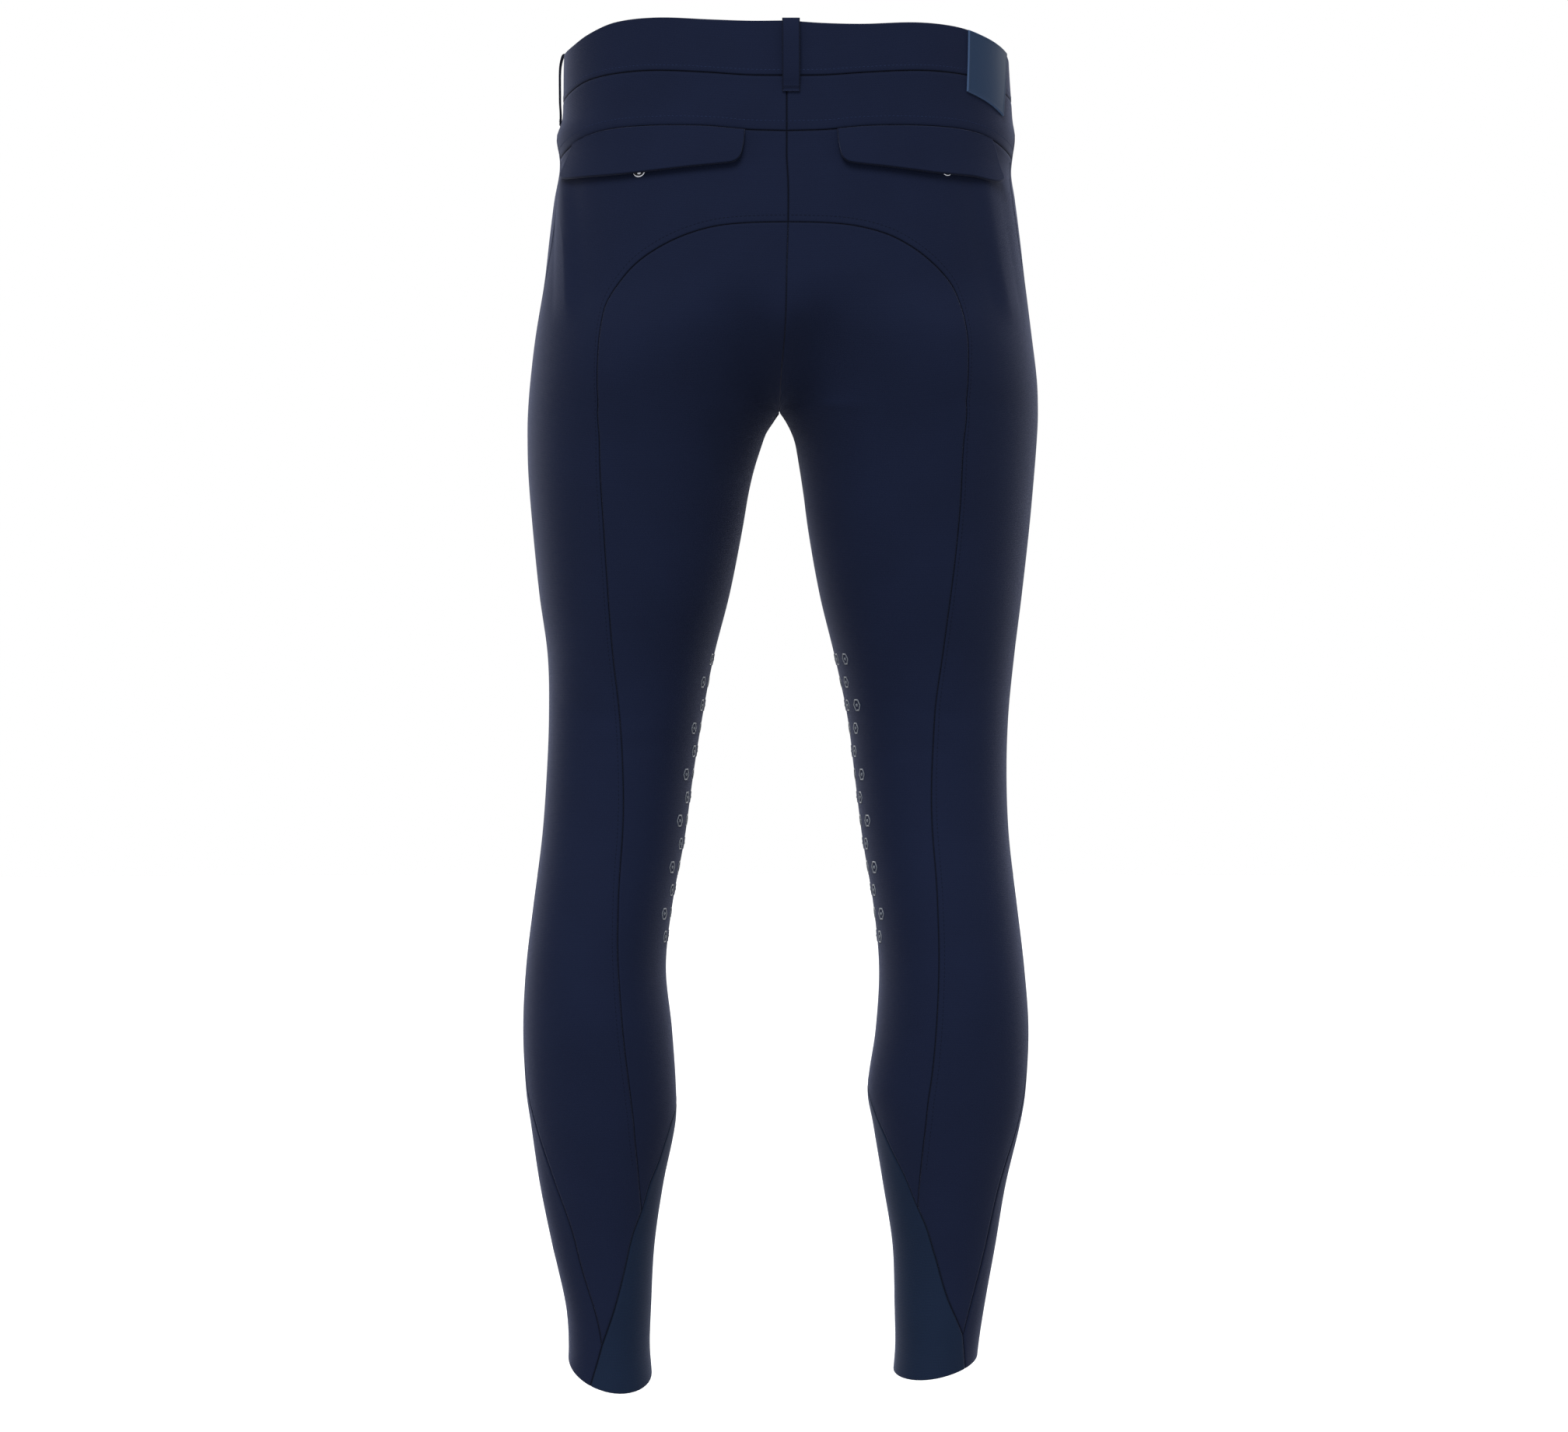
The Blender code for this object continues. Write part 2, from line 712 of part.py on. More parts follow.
def build_waistband(half, side_name, material):
    top, seam = waist_columns(half, TOP[half]), waist_columns(half, BAND_SEAM)
    points, triangles = patch(half, top, seam, 2, start=edge_between(top[0], seam[0], 2),
                              end=edge_between(top[-1], seam[-1], 2))
    sewn_piece(f"waistband_{side_name}", half, points, triangles, BAND_CLOTH, material)


def build_yoke(half, side_name, material):
    seam = waist_columns(half, BAND_SEAM)[:BACK_COLUMNS + 1]
    lower = waist_columns(half, YOKE_SEAM)[:BACK_COLUMNS + 1]
    end = side_above_yoke(half)
    across = len(end) - 1
    points, triangles = patch(half, seam, lower, across,
                              start=edge_between(seam[0], lower[0], across), end=end)
    sewn_piece(f"back_yoke_{side_name}", half, points, triangles, CLOTH, material)


def build_back_panel(half, side_name, material):
    """The piece outside the full seat; it tapers to a point above the ankle."""
    inner = seat_line(half) + insert_line(half)[SEAT_MEETS_INSERT + 2:]
    outer = waist_columns(half, YOKE_SEAM)[:BACK_COLUMNS] + side_line(half)
    points, triangles = patch(half, inner, outer, PANEL_ACROSS,
                              start=edge_between(inner[0], outer[0], PANEL_ACROSS))
    sewn_piece(f"back_panel_{side_name}", half, points, triangles, CLOTH, material)


def build_seat_panel(half, side_name, material):
    """The full seat, which runs from the arch down the inside of the leg to the calf."""
    arch = seat_line(half)
    centre = centre_line(0.0, arch[0][1], BACK_RISE_Z, STRAIGHT_STEPS["back"])
    inner = centre + inseam_line(half)[1:]
    end = insert_line(half)[:SEAT_MEETS_INSERT + 2]
    across = len(end) - 1
    points, triangles = patch(half, inner, arch, across, end=end, crowd=FORK_CROWD)
    sewn_piece(f"seat_panel_{side_name}", half, points, triangles, CLOTH, material)


def build_front_panel(half, side_name, material):
    outer = side_above_yoke(half) + side_line(half)[1:] + side_below_tip(half)[1:]
    waist = waist_columns(half, BAND_SEAM)[BACK_COLUMNS:]
    centre = centre_line(1.0, waist[-1][1], FRONT_RISE_Z, STRAIGHT_STEPS["front"])
    inseam = shift_line(inseam_line(half), 1)
    insert = shift_line(insert_front_line(half), 1)
    inner = centre + inseam[1:] + insert[1:]
    across = len(waist) - 1
    shares = [(i / across) ** FORK_CROWD for i in range(across + 1)]
    hem = [mix(inner[-1], outer[-1], share) for share in shares]
    hem = [inner[-1]] + [(t, hem_z(half, t)) for t, _ in hem[1:-1]] + [outer[-1]]
    points, triangles = patch(half, inner, outer, across, start=waist[::-1], end=hem,
                              crowd=FORK_CROWD)
    sewn_piece(f"front_panel_{side_name}", half, points, triangles, CLOTH, material)


def build_insert(half, side_name, material):
    """Stretch insert on the inside of the lower leg, down to the hem."""
    back = insert_line(half) + side_below_tip(half)[1:]
    front = insert_front_line(half)
    span = [mix(front[-1], back[-1], i / INSERT_ACROSS) for i in range(INSERT_ACROSS + 1)]
    hem = [front[-1]] + [(t, hem_z(half, t)) for t, _ in span[1:-1]] + [back[-1]]
    points, triangles = patch(half, front, back, INSERT_ACROSS, end=hem)
    sewn_piece(f"calf_insert_{side_name}", half, points, triangles, INSERT_CLOTH, material)


# ---- pieces that lie on the panels --------------------------------------------------

def build_flap(half, side_name, material, rows=3):
    """Back pocket flap, sewn along the yoke seam and standing off at its lower edge."""
    places, normals, lift = [], [], []
    for row in range(rows + 1):
        down = row / rows
        t_outer = FLAP_OUTER_T[0] + (FLAP_OUTER_T[1] - FLAP_OUTER_T[0]) * down
        t_inner = FLAP_INNER_T[half] + FLAP_INNER_LEAN * down ** 2
        for share, hem in FLAP_HEM:
            t = t_inner + (t_outer - t_inner) * share
            top = waist_line(YOKE_SEAM, t)
            z = top + (hem - top) * down
            places.append(surface(half, t, z))
            normals.append(surface_normal(half, t, z))
            lift.append(LAY_GAP + FLAP_LIFT * sin(down * pi / 2))
    triangles = grid_triangles(len(FLAP_HEM) - 1, rows)
    laid_piece(f"pocket_flap_{side_name}", places, normals, triangles, lift, FLAP_CLOTH,
               material)


def build_disc(name, place, normal, radius, lift, thick, material, sides=16):
    """A low round fastener with a bevelled rim, flat on the cloth."""
    mesh = bmesh.new()
    across = normal.cross(Vector((0, 0, 1))).normalized()
    up = across.cross(normal).normalized()
    levels = ((lift, 1.0), (lift + thick * 0.55, 1.0), (lift + thick, 0.78))
    rings = []
    for height, share in levels:
        ring = []
        for i in range(sides):
            angle = 2 * pi * i / sides
            offset = (across * cos(angle) + up * sin(angle)) * radius * share
            ring.append(mesh.verts.new((place + normal * height + offset) * MM))
        rings.append(ring)
    for low, high in zip(rings, rings[1:]):
        for i in range(sides):
            k = (i + 1) % sides
            mesh.faces.new((low[i], low[k], high[k], high[i]))
    mesh.faces.new(rings[0])
    mesh.faces.new(rings[-1])
    bmesh.ops.recalc_face_normals(mesh, faces=mesh.faces)
    return finish_object(name, mesh, material)


def build_pocket_snap(half, side_name, material):
    """Press stud on the back panel, half under the flap."""
    x, z = SNAP_PLACES[half]
    t = solve_t(half, half * x, z, 0, 0.5)
    build_disc(f"pocket_snap_{side_name}", surface(half, t, z), surface_normal(half, t, z),
               SNAP_RADIUS, LAY_GAP, SNAP_THICK, material)


def build_loop(name, half, t, below_seam, material):
    """Belt loop: a strap from below the waistband seam, over the waistband's top edge."""
    top = waist_line(TOP[half], t)
    bottom = waist_line(BAND_SEAM, t) - below_seam
    spine = [(off, bottom + (top - bottom) * share) for off, share in LOOP_PROFILE]
    spine += [(0.6, top + LOOP_OVER_TOP), (-BAND_CLOTH + 0.5, top + LOOP_OVER_TOP)]
    under, over = [], []
    for i, (off, z) in enumerate(spine):
        before, after = spine[max(i - 1, 0)], spine[min(i + 1, len(spine) - 1)]
        run = Vector((after[0] - before[0], after[1] - before[1])).normalized()
        outward = Vector((run.y, -run.x)) * (LOOP_THICK / 2)
        under.append((off - outward.x, z - outward.y))
        over.append((off + outward.x, z + outward.y))
    normal = surface_normal(half, t, top)
    normal.z = 0
    normal.normalize()
    sideways = Vector((-normal.y, normal.x, 0)) * (LOOP_WIDTH / 2)

    def ring_places(profile):
        places = []
        for off, z in profile:
            base = surface(half, t, z)
            for edge in (-1, 1):
                places.append(base + normal * off + sideways * edge)
        return places

    triangles = grid_triangles(1, len(spine) - 1)
    closed_piece(name, ring_places(over), ring_places(under), triangles, material)


def build_patch(material, columns=6, rows=5):
    """Plain waist patch on the right back, over the waistband and on to the yoke."""
    places, normals = [], []
    for row in range(rows + 1):
        for column in range(columns + 1):
            share = column / columns
            t = PATCH_T[0] + (PATCH_T[1] - PATCH_T[0]) * share
            top = waist_line(TOP[RIGHT], t) - PATCH_TOP_SETBACK
            drop = PATCH_BELOW_SEAM[0] + (PATCH_BELOW_SEAM[1] - PATCH_BELOW_SEAM[0]) * share
            bottom = waist_line(BAND_SEAM, t) - drop
            z = top + (bottom - top) * row / rows
            places.append(surface(RIGHT, t, z))
            normals.append(surface_normal(RIGHT, t, z))
    laid_piece("waist_patch", places, normals, grid_triangles(columns, rows),
               [LAY_GAP] * len(places), TRIM_CLOTH, material)


def front_points(x_of_row, z_of_row, columns, rows):
    """Points and normals of a piece laid on the centre front, across both halves."""
    places, normals = [], []
    for row in range(rows + 1):
        x_left, x_right = x_of_row(row)
        for column in range(columns + 1):
            x = x_left + (x_right - x_left) * column / columns
            z = z_of_row(row, x)
            half, t = front_place(x, z)
            places.append(surface(half, t, z))
            normals.append(surface_normal(half, t, z))
    return places, normals


def build_fly(material, columns=5, straight_rows=5, curve_rows=5):
    """Fly front: laps from the wearer's left over the centre front, round at its foot."""
    top = waist_line(BAND_SEAM, 1.0) - 1
    curve_top = FLY_BOTTOM_Z + FLY_CURVE_DEPTH
    rows = [(top + (curve_top - top) * i / straight_rows, FLY_WIDTH)
            for i in range(straight_rows)]
    for i in range(curve_rows + 1):
        angle = i / curve_rows * pi / 2
        rows.append((curve_top - FLY_CURVE_DEPTH * sin(angle),
                     max(FLY_WIDTH * cos(angle), FLY_FOOT)))

    def height(row, _x):
        return rows[row][0]

    def sides(row):
        return -rows[row][1], FLY_OVERLAP

    places, normals = front_points(sides, height, columns, len(rows) - 1)
    laid_piece("fly_front", places, normals, grid_triangles(columns, len(rows) - 1),
               [LAY_GAP] * len(places), TRIM_CLOTH, material)


def build_waist_tab(material, columns=4, rows=2):
    """End of the waistband that laps from the wearer's left on to the right."""
    def height(row, x):
        half, t = front_place(x, -10)
        top = waist_line(TOP[half], t) - TAB_SETBACK
        bottom = waist_line(BAND_SEAM, t) + TAB_SETBACK
        return top + (bottom - top) * row / rows

    def sides(_row):
        return -8, TAB_LENGTH

    places, normals = front_points(sides, height, columns, rows)
    laid_piece("waist_tab", places, normals, grid_triangles(columns, rows),
               [LAY_GAP] * len(places), BAND_CLOTH, material)


def build_waist_button(material):
    z = (waist_line(TOP[RIGHT], 0.95) + waist_line(BAND_SEAM, 0.95)) / 2
    half, t = front_place(TAB_LENGTH * 0.55, z)
    build_disc("waist_button", surface(half, t, z), surface_normal(half, t, z), BUTTON_RADIUS,
               LAY_GAP * 2 + BAND_CLOTH, BUTTON_THICK, material)


def build_welt(half, side_name, material, steps=10):
    """Welt of the slanted front pocket."""
    top_z = waist_line(BAND_SEAM, WELT_TOP_T) - 1
    places, normals = [], []
    for i in range(steps + 1):
        share = i / steps
        t = WELT_TOP_T + (WELT_BOTTOM_T - WELT_TOP_T) * (0.35 * share + 0.65 * share ** 2)
        z = top_z + (WELT_BOTTOM_Z - top_z) * share
        wide = (surface(half, t + 0.01, z) - surface(half, t, z)).length / 0.01
        for edge in (0, 1):
            t_edge = t + edge * WELT_WIDTH / wide
            places.append(surface(half, t_edge, z))
            normals.append(surface_normal(half, t_edge, z))
    laid_piece(f"pocket_welt_{side_name}", places, normals, grid_triangles(1, steps),
               [LAY_GAP] * len(places), TRIM_CLOTH, material)


# ---- the garment --------------------------------------------------------------------

def make_material(name, colour, roughness, metallic=0.0):
    material = bpy.data.materials.new(name)
    material.use_nodes = True
    shader = material.node_tree.nodes["Principled BSDF"]
    shader.inputs["Base Color"].default_value = colour
    shader.inputs["Roughness"].default_value = roughness
    shader.inputs["Metallic"].default_value = metallic
    return material


def clear_scene():
    for item in list(bpy.data.objects):
        bpy.data.objects.remove(item, do_unlink=True)


def main():
    clear_scene()
    twill = make_material("navy_twill", NAVY, 0.85)
    knit = make_material("teal_knit", TEAL_NAVY, 0.7)
    rubber = make_material("teal_patch", PATCH_TEAL, 0.5)
    metal = make_material("nickel", NICKEL, 0.3, metallic=1.0)
    for half, side_name in ((LEFT, "left"), (RIGHT, "right")):
        build_waistband(half, side_name, twill)
        build_yoke(half, side_name, twill)
        build_back_panel(half, side_name, twill)
        build_seat_panel(half, side_name, twill)
        build_front_panel(half, side_name, twill)
        build_insert(half, side_name, knit)
        build_flap(half, side_name, twill)
        build_pocket_snap(half, side_name, metal)
        build_welt(half, side_name, twill)
    for name, (half, t, below_seam) in LOOPS.items():
        build_loop(name, half, t, below_seam, twill)
    build_patch(rubber)
    build_fly(twill)
    build_waist_tab(twill)
    build_waist_button(metal)


main()
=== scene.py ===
"""Full-seat riding breeches: the finished look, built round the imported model.

Frame: metres, +Z up, the wearer faces +Y, so +X is the wearer's right. The tables and the
working unit are millimetres. Each half of the garment is one smooth surface with two
coordinates: t runs round the half from centre back (0) over the outer side (0.5) to centre
front (1), and z is the height. Every cloth piece is a fine shell between seam lines drawn on
that surface.
"""
from math import cos, pi, radians, sin

import bpy
import numpy as np
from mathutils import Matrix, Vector


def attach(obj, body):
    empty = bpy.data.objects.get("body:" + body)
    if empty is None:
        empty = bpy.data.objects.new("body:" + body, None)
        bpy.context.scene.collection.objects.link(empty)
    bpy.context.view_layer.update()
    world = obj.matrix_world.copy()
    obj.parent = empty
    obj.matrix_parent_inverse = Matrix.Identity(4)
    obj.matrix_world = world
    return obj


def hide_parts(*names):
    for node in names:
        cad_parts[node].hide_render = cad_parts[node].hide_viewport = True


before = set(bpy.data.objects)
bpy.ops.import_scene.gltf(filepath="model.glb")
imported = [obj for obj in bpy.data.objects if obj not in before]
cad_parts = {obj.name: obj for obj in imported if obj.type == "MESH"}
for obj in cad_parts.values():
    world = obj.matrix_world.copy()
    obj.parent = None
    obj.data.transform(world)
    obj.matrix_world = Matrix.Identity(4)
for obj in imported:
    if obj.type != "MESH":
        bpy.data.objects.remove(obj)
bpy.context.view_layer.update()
MM = 0.001

# Cloth walls, mm
CLOTH = 1.5
BAND_CLOTH = 2.4
INSERT_CLOTH = 1.2
FLAP_CLOTH = 2.0
TRIM_CLOTH = 1.2
SETBACK = 0.15          # of a sewn edge from its seam line, on the cloth's face
TURN_SETBACK = -0.04    # and on its turned-in back, which meets its neighbour's
LAY_GAP = 0.45          # between a panel and what lies on it
LAID_DROP = 0.55        # share of its wall by which a laid piece's edge is rounded off
BEAD_PLACE, BEAD_WIDTH = 1.0, 0.45      # of the bead along that edge
SEAM_SHADE = 1.2        # width of the painted shade along a sewn edge

CELL = 4.5              # size of a mesh cell
EDGE_STEPS = (0.0, 0.35, 0.8, 1.4, 2.2, 3.4, 5.0, 7.5)      # closer lines along every edge
SEAM_DIP = 0.9          # how far a panel rolls in at its seams
SEAM_ROLL = 1.8         # and from how far off
SEAM_SWELL = (0.12, 2.8, 1.4)       # height of the ridge beside a seam, its place and width
TURN_DEPTH = 0.15       # of a turned-in edge under the rolled face
FOLD_ROLL, FOLD_DIP = 0.6, 0.4      # the rounding of a folded edge that is free

# Sections of the filled garment, x to the outer and inner outlines, y to the back and front
SECTIONS = (
    # z,  left_out, left_in, centre, right_in, right_out, back, front
    (45, -161.5, 0, 2, 0, 165, -113, 96),
    (10, -163, 0, 2, 0, 166.5, -115.5, 103),
    (-14, -163.3, 0, 2, 0, 168, -117, 105),
    (-30, -164, 0, 2, 0, 169, -118, 106),
    (-43, -168.2, 0, 2, 0, 170.9, -119, 106.5),
    (-58, -166, 0, 2, 0, 169, -120, 107),
    (-70, -166.3, 0, 2, 0, 168, -121, 107),
    (-88, -169.6, 0, 3, 0, 170.6, -123, 106),
    (-115, -173, 0, 3, 0, 174, -125, 105),
    (-150, -177, 0, 2, 0, 178, -126, 104),
    (-190, -183.5, 0, 1, 0, 183, -123, 103),
    (-222, -187.5, 0, -2, 0, 187, -116, 102),
    (-245, -189.5, -3.5, -3.5, -3.5, 188, -108, 101),
    (-262, -190, -14, 0, 7.5, 187.5, -103, 100),
    (-290, -189.5, -23, 0, 12, 185.5, -97, 98),
    (-330, -186.5, -30.5, 0, 17.5, 182, -88, 95),
    (-380, -181.5, -40.5, 0, 26.5, 176.5, -78, 89),
    (-425, -175.5, -52, 0, 37.5, 171, -66.5, 81),
    (-470, -174.5, -60.5, 0, 47, 166.5, -60, 71),
    (-515, -176, -67.5, 0, 52.5, 165, -61, 62),
    (-560, -179, -73.5, 0, 58, 166.5, -67, 54),
    (-610, -185, -82.5, 0, 66, 172, -78, 46),
    (-655, -190, -87, 0, 70, 177, -84, 40),
    (-700, -192, -82.5, 0, 67.5, 180, -86, 36),
    (-745, -190, -79.5, 0, 61.5, 178, -80, 31),
    (-770, -186.5, -80, 0, 65.5, 174, -76, 28),
    (-815, -180, -89, 0, 73, 163.5, -66, 24),
    (-860, -171, -95.5, 0, 80, 156, -59, 22),
    (-905, -161, -98, 0, 81.5, 148, -56, 22),
    (-935, -159, -99, 0, 82, 143.5, -55, 23),
    (-955, -160.5, -97.5, 0, 80.5, 142, -55.5, 24),
    (-985, -162, -96, 0, 79, 143, -56, 25),
)
LEFT_OUT, LEFT_IN, CENTRE, RIGHT_IN, RIGHT_OUT, BACK, FRONT = range(1, 8)
LEFT, RIGHT = -1, 1
SIDE_NAME = {LEFT: "left", RIGHT: "right"}
COLUMN = {LEFT: 1, RIGHT: 2}        # of each half, in a table of z, left, right
CROTCH_Z = -245
FIRST_LEG_Z = -262
FORK_POWER = 0.6
HIP_SQUARE = 2.2
BACK_RISE_Z = -150
FRONT_RISE_Z = -170
RISE_WIDTH_T = 0.14
FULLNESS_EASE = 18      # mm of height over which the seat's fullness changes
# The cloth is eased round the fork: how far up and down, how far from a seam and how often
FORK_REACH, FORK_EDGE, FORK_ROUNDS = 42, 16, 90
FORK_T, FORK_T_FADE = 0.3, 0.12         # and how far round from the centre plane

# Lines round the waist: the band's top edges, its seam and the yoke's
WAIST_LINES = (
    # t,   top_left, top_right, seam, yoke
    (0.00, 29.5, 29.5, -10.5, -50.5), (0.08, 29.5, 27.8, -10, -49.5),
    (0.16, 31, 27.8, -7.5, -46.5), (0.26, 34, 30.5, -4.5, -45), (0.33, 32.8, 29.3, -5, -46),
    (0.38, 27, 24.8, -7.5, -50), (0.42, 21.3, 20.2, -12, -55), (0.45, 19, 16.6, -15, -58),
    (0.50, 17.5, 12.5, -17.5, -61), (0.65, 13, 9.5, -22, -66), (0.80, 9, 7.5, -25, -68),
    (1.00, 6.5, 6.5, -27, -70),
)
TOP = COLUMN
BAND_SEAM, YOKE_SEAM = 3, 4
ONE_TURN = (1, 0)       # from a line at t = 0 to the same line at t = 1

# Seam round the full seat: x from the centre plane, over the arch and down to the calf
SEAT_SEAM = (
    # z,  left_x, right_x
    (-116.5, 0, 0), (-117, 27, 27), (-119, 50, 50), (-124.5, 71, 73), (-133, 90, 91),
    (-144.5, 107, 107), (-159, 120, 120.5), (-173, 128.5, 127), (-188, 132, 131),
    (-206, 134, 133), (-240, 134.5, 132), (-273, 133.5, 130), (-323, 131.5, 127.5),
    (-373, 128.5, 122.5), (-424, 125, 116), (-465, 120.5, 110.5), (-499, 118, 108.5),
    (-533, 117, 107.5), (-580, 119, 110), (-625, 120.5, 112), (-661, 119.5, 112),
    (-700, 116.5, 110), (-740, 112, 106), (-775, 108.5, 102), (-805, 106, 99),
)
SEAT_SHIFT_REACH = 130.0    # x out to which that seam follows the centre seam sideways

# Seam between the back of the leg and the calf insert, from the inseam to the hem
INSERT_SEAM = (
    # left_z, left_x, right_z, right_x
    (-762, 80.5, -748, 62.5), (-769, 83, -757, 65.5), (-777, 85.5, -766, 69),
    (-787, 88.8, -777, 74), (-797, 92, -788, 79), (-813, 98.5, -806, 88),
    (-832, 104, -829, 97.5), (-850, 110.5, -844, 104), (-874, 116, -862, 109.5),
    (-901, 123, -894, 119), (-930, 133, -923, 131),
)
SEAT_MEETS_INSERT = 6
INSERT_STEPS = 8        # points drawn between two rows of that table
INSERT_TOP_RISE = 12
MEET = (SEAT_MEETS_INSERT + 1) * INSERT_STEPS

# How far the side seam lies behind the leg's outer outline
SIDE_SEAM = (
    # z,   left, right
    (20, 0, 0), (-55, 1, 1), (-74, 2.5, 2.5), (-95, 4, 3.5), (-120, 4, 2.5), (-150, 1.5, 1),
    (-185, 0.6, 0.6), (-220, 0.4, 0.4), (-690, 0.5, 0.5), (-725, 0.9, 0.9), (-750, 2.4, 1.7),
    (-775, 6, 3.3), (-800, 11, 5.2), (-830, 16.5, 7), (-855, 20, 8.6), (-880, 20.3, 10),
    (-905, 21.5, 11.8), (-930, 26, 14.5), (-960, 19, 5),
)
SIDE_STEP = 36          # between the points read from that table
YOKE_SIDE_SHARES = (0.36, 0.62)

HEM = {
    LEFT: {"z": -948, "back_drop": 16, "outer_rise": 7},
    RIGHT: {"z": -946.7, "back_drop": 7.4, "outer_rise": 5.5},
}
INSEAM_LEAN = 0.03
INSEAM_LEAN_DEPTH = 90
INSERT_FRONT_T = -0.25
INSERT_FRONT_DEPTH = 150

# Back pocket flaps
FLAP_INNER_T = {LEFT: 0.083, RIGHT: 0.1}
FLAP_INNER_LEAN = 0.005
FLAP_OUTER_T = {LEFT: (0.394, 0.428), RIGHT: (0.376, 0.404)}
FLAP_OUTER_BOW = 0.65
FLAP_OUTER_DROP = {LEFT: 0.4, RIGHT: 3.6}   # how far its outer corner hangs below FLAP_HEM
FLAP_DROP_FROM, FLAP_DROP_OVER = 0.72, 0.24     # shares of its width
FLAP_HEM = (
    # across, z of the lower edge, from the inner corner outwards
    (0.00, -66), (0.01, -69.6), (0.03, -72.4), (0.06, -73.9), (0.14, -75), (0.24, -76),
    (0.34, -77.2), (0.44, -78.4), (0.53, -79.4), (0.62, -80), (0.72, -80.1), (0.82, -79.7),
    (0.91, -78.9), (0.97, -77.6), (1.00, -75.2),
)
FLAP_LIFT = 2.6
FLAP_SHADE = 0.3        # painted shade along its edge, nearly as dark as at a seam
SNAP_PLACES = {LEFT: (104, -77.2), RIGHT: (117, -75.5)}

LOOP_WIDTH = 12.7
LOOPS = {
    "belt_loop_back": (RIGHT, 0.009, 11.5),
    "belt_loop_side_left": (LEFT, 0.5, 15),
    "belt_loop_side_right": (RIGHT, 0.6, 15),
    "belt_loop_front_left": (LEFT, 0.8, 12),
    "belt_loop_front_right": (RIGHT, 0.8, 12),
}
LOOP_PROFILE = (
    # off the cloth, height as a share from the lower end to the waistband's top edge
    (1.0, 0.0), (1.1, 0.08), (2.6, 0.20), (3.5, 0.36), (3.8, 0.52), (3.8, 0.70), (3.2, 0.86),
    (1.9, 0.97),
)
SIDE_LOOP_PROFILE = (
    # the one on the left side is seen edge-on: nearly straight between its ends
    (0.9, 0.0), (1.5, 0.07), (2.0, 0.18), (2.5, 0.34), (2.8, 0.70), (2.6, 0.86), (1.8, 0.96),
)
LOOP_OVER_TOP = 1.3
LOOP_THICK = 1.1
TACK_PLACES = (2.2, 3.6)        # of the two rows of a bar tack, from the loop's lower end

PATCH_T = (0.3455, 0.445)
PATCH_LEAN = (0.0115, 0.030)     # how far its inner and outer edges run back towards its foot
PATCH_TOP_SETBACK = 0.4
PATCH_BELOW_SEAM = (12.3, 20)

FLY_WIDTH = 37
FLY_OVERLAP = 5
FLY_BOTTOM_Z = -163
FLY_CURVE_DEPTH = 42
FLY_FOOT = 3
TAB_LENGTH = 34
TAB_SETBACK = 0.6
TAB_START = -8          # x of its end beyond the centre front
TAB_TURN = 470          # mm round the waist to a turn in t
BUTTON_T, BUTTON_SHARE = 0.95, 0.55     # where its height is read, and its place on the tab

WELT_TOP_T, WELT_BOTTOM_T = 0.76, 0.565
WELT_BOTTOM_Z = -165
WELT_WIDTH = 12
WELT_BEND = 0.65        # share of its slant that comes in towards its foot

# Soft troughs and ridges in the cloth, each a bent oval
CREASES = (
    # half,  t,    z,   half_length, half_width, tilt, height, bow
    (LEFT, 0.085, -236, 34, 8.0, 52, -0.5, 3),
    (LEFT, 0.125, -254, 42, 10.0, 38, 0.45, 4),
    (RIGHT, 0.09, -232, 36, 8.5, -54, -0.5, 3),
    (RIGHT, 0.13, -251, 40, 10.0, -40, 0.4, 4),
    (LEFT, 0.30, -470, 40, 6.0, 8, -0.7, 5),
    (LEFT, 0.22, -492, 36, 6.5, -6, -0.8, -4),
    (RIGHT, 0.27, -468, 38, 6.0, -9, -0.7, 5),
    (RIGHT, 0.20, -496, 34, 6.5, 7, -0.8, -4),
    (LEFT, 0.93, -214, 40, 6.5, -40, -1.6, 4),
    (LEFT, 0.90, -236, 48, 8.0, -30, 1.3, 5),
    (LEFT, 0.95, -252, 30, 5.0, -22, -1.3, 3),
    (LEFT, 0.84, -200, 44, 8.0, -52, -1.0, 6),
    (RIGHT, 0.93, -211, 42, 6.5, 42, -1.6, 4),
    (RIGHT, 0.89, -234, 46, 8.0, 32, 1.2, 5),
    (RIGHT, 0.95, -254, 28, 5.0, 24, -1.2, 3),
    (RIGHT, 0.85, -196, 40, 8.0, 50, -1.0, 6),
    (LEFT, 0.78, -470, 44, 10.0, -5, -0.6, 6),
    (LEFT, 0.72, -495, 38, 9.0, 8, -0.5, -5),
    (LEFT, 0.80, -520, 40, 10.0, 4, -0.6, 4),
    (RIGHT, 0.77, -466, 42, 10.0, 6, -0.6, 6),
    (RIGHT, 0.71, -491, 40, 9.0, -7, -0.5, -5),
    (RIGHT, 0.79, -524, 38, 10.0, -3, -0.6, 4),
    (LEFT, 0.74, -840, 30, 6.0, 6, -0.7, 3),
    (LEFT, 0.66, -872, 28, 5.0, -8, -0.8, -3),
    (LEFT, 0.78, -900, 26, 5.0, 5, -0.7, 3),
    (RIGHT, 0.73, -836, 30, 6.0, -7, -0.7, 3),
    (RIGHT, 0.67, -868, 26, 5.0, 9, -0.8, -3),
    (RIGHT, 0.79, -897, 26, 5.0, -4, -0.7, 3),
)

